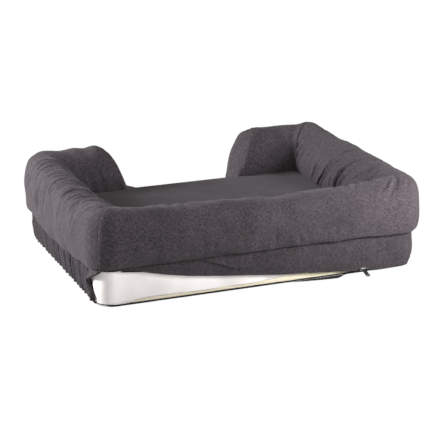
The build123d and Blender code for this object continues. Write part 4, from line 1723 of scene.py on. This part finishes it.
def build_stage() -> None:
    """The floor, the even surrounding light and the soft boxes."""
    signs = ((-1, -1), (1, -1), (1, 1), (-1, 1))
    corners = [(x * FLOOR_REACH, y * FLOOR_REACH, FLOOR_LEVEL) for x, y in signs]
    mesh = bpy.data.meshes.new("floor")
    mesh.from_pydata(corners, [], [(0, 1, 2, 3)])
    mesh.materials.append(floor_material())
    floor = bpy.data.objects.new("floor", mesh)
    bpy.context.scene.collection.objects.link(floor)
    world = bpy.data.worlds.new("world")
    world.use_nodes = True
    tree = world.node_tree
    background = tree.nodes["Background"]
    background.inputs["Color"].default_value = (1, 1, 1, 1)
    path = tree.nodes.new("ShaderNodeLightPath")
    strength = tree.nodes.new("ShaderNodeMapRange")
    strength.inputs["To Min"].default_value = WORLD_LIGHT
    strength.inputs["To Max"].default_value = 1.0
    tree.links.new(path.outputs["Is Camera Ray"], strength.inputs["Value"])
    tree.links.new(strength.outputs[0], background.inputs["Strength"])
    bpy.context.scene.world = world
    for light in LIGHTS:
        light.build()
    bpy.context.scene.view_settings.view_transform = "Standard"


# The bed


class PetBed:
    """The whole bed, sub-assembly by sub-assembly."""

    # The sleeping panel's flat rim, from the solid bands' tops to the deck, and how far below the deck
    # the cloth bands end
    panel_sheet = 2 * MM
    band_gap = 1 * MM

    def __init__(self) -> None:
        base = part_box("bottom_panel")[1]
        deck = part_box("front_band")[1].z + self.panel_sheet
        self.size = BedSize(half_length=base.x, half_width=base.y, deck=deck)
        self.outline = Outline(self.size.half_length, self.size.half_width, self.size.corner)
        self.cloth = cloth_material(CHARCOAL)
        # The bands' cloth, darkened as painted shade under the bolsters
        self.band_cloth = cloth_material(SHADED_BAND)
        self.panel_cloth = cloth_material(PANEL)
        self.backing = cloth_material(UNDERSIDE)
        self.tape = cloth_material(TAPE)
        self.liner_cloth = cloth_material(LINER)
        self.nylon = nylon_material("zip_coil")
        self.metal = metal_material("zip_metal")

    def build_bolster(self) -> None:
        """The five rolls."""
        for plan in ROLLS:
            Roll(plan, self.size).build(self.cloth)

    def build_bands(self) -> None:
        """The base's front and side bands, and the closed stretch of the rear one."""
        marks = self.outline.marks()
        under = self.size.deck - self.band_gap
        right = WallPlan(
            name="right_band", start=marks[2], finish=marks[3], bottom=0.3 * MM, top=under,
            pleats=20, pleat_depth=13 * MM, belly=1 * MM, seed=4,
        )
        front = WallPlan(
            name="front_band", start=marks[3], finish=marks[6], bottom=1 * MM, top=under,
            belly=0.3 * MM, unevenness=0.15 * MM, tuck_start=6 * MM, seed=6,
        )
        left = WallPlan(
            name="left_band", start=marks[6], finish=marks[7], bottom=1 * MM, top=under,
            pleats=26, pleat_depth=2.6 * MM, tuck_finish=15 * MM, seed=7,
        )
        for kind, plan in ((RightBand, right), (Wall, front), (Wall, left)):
            kind(plan, self.outline, self.size.cloth).build(self.band_cloth)
        Flap(CLOSED_BAND, self.outline, self.size.cloth).build(self.band_cloth, self.cloth)

    def build_flap(self) -> None:
        """The lifted flap over the open zip."""
        Flap(OPEN_FLAP, self.outline, self.size.cloth).build(self.band_cloth, self.cloth)

    def build_core(self) -> None:
        """The panel, the two foam slabs, the liner and the backing below."""
        Panel(self.size).build(self.outline, self.panel_cloth)
        liner = Liner(self.size)
        liner.build(self.liner_cloth)
        BACKING.build("bottom_panel_cloth", self.outline, 0.0, self.size, self.backing)
        for slab, colour in ((SUPPORT_FOAM, BEIGE), (MEMORY_FOAM, CREAM)):
            material = foam_material(slab.slot, colour)
            foam = slab.build(f"{slab.node}_block", liner.outline(), liner.middle, self.size, material)

    def build_zip(self) -> None:
        """The zip's lower side, its lifted upper side, and the metal pieces."""
        line = ZipLine()
        strip = line.tape_surface(self.outline, self.size.half_width)
        tape = strip.build("zip_tape_lower_cloth", self.tape)
        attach(tape, "root")
        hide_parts("zip_tape_lower")
        coil = tooth_row("zip_coil_lower_teeth", line.teeth(self.outline, self.size.half_width), self.nylon)
        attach(coil, "root")
        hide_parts("zip_coil_lower")
        for name, material in (
            ("zip_tape_upper", self.tape),
            ("zip_coil_upper", self.nylon),
            ("zip_stop", self.metal),
            ("zip_slider", self.metal),
            ("zip_pull", self.metal),
        ):
            materials = bpy.data.objects[name].data.materials
            materials.clear()
            materials.append(material)

    def build(self) -> None:
        """Builds everything."""
        self.build_bolster()
        self.build_bands()
        self.build_flap()
        self.build_core()
        self.build_zip()


def main() -> None:
    """Loads the frame, dresses it and sets the stage."""
    logging.basicConfig(level=logging.INFO, format="%(name)s %(message)s")
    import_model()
    PetBed().build()
    View().build()
    build_stage()


if __name__ == "__main__":
    main()
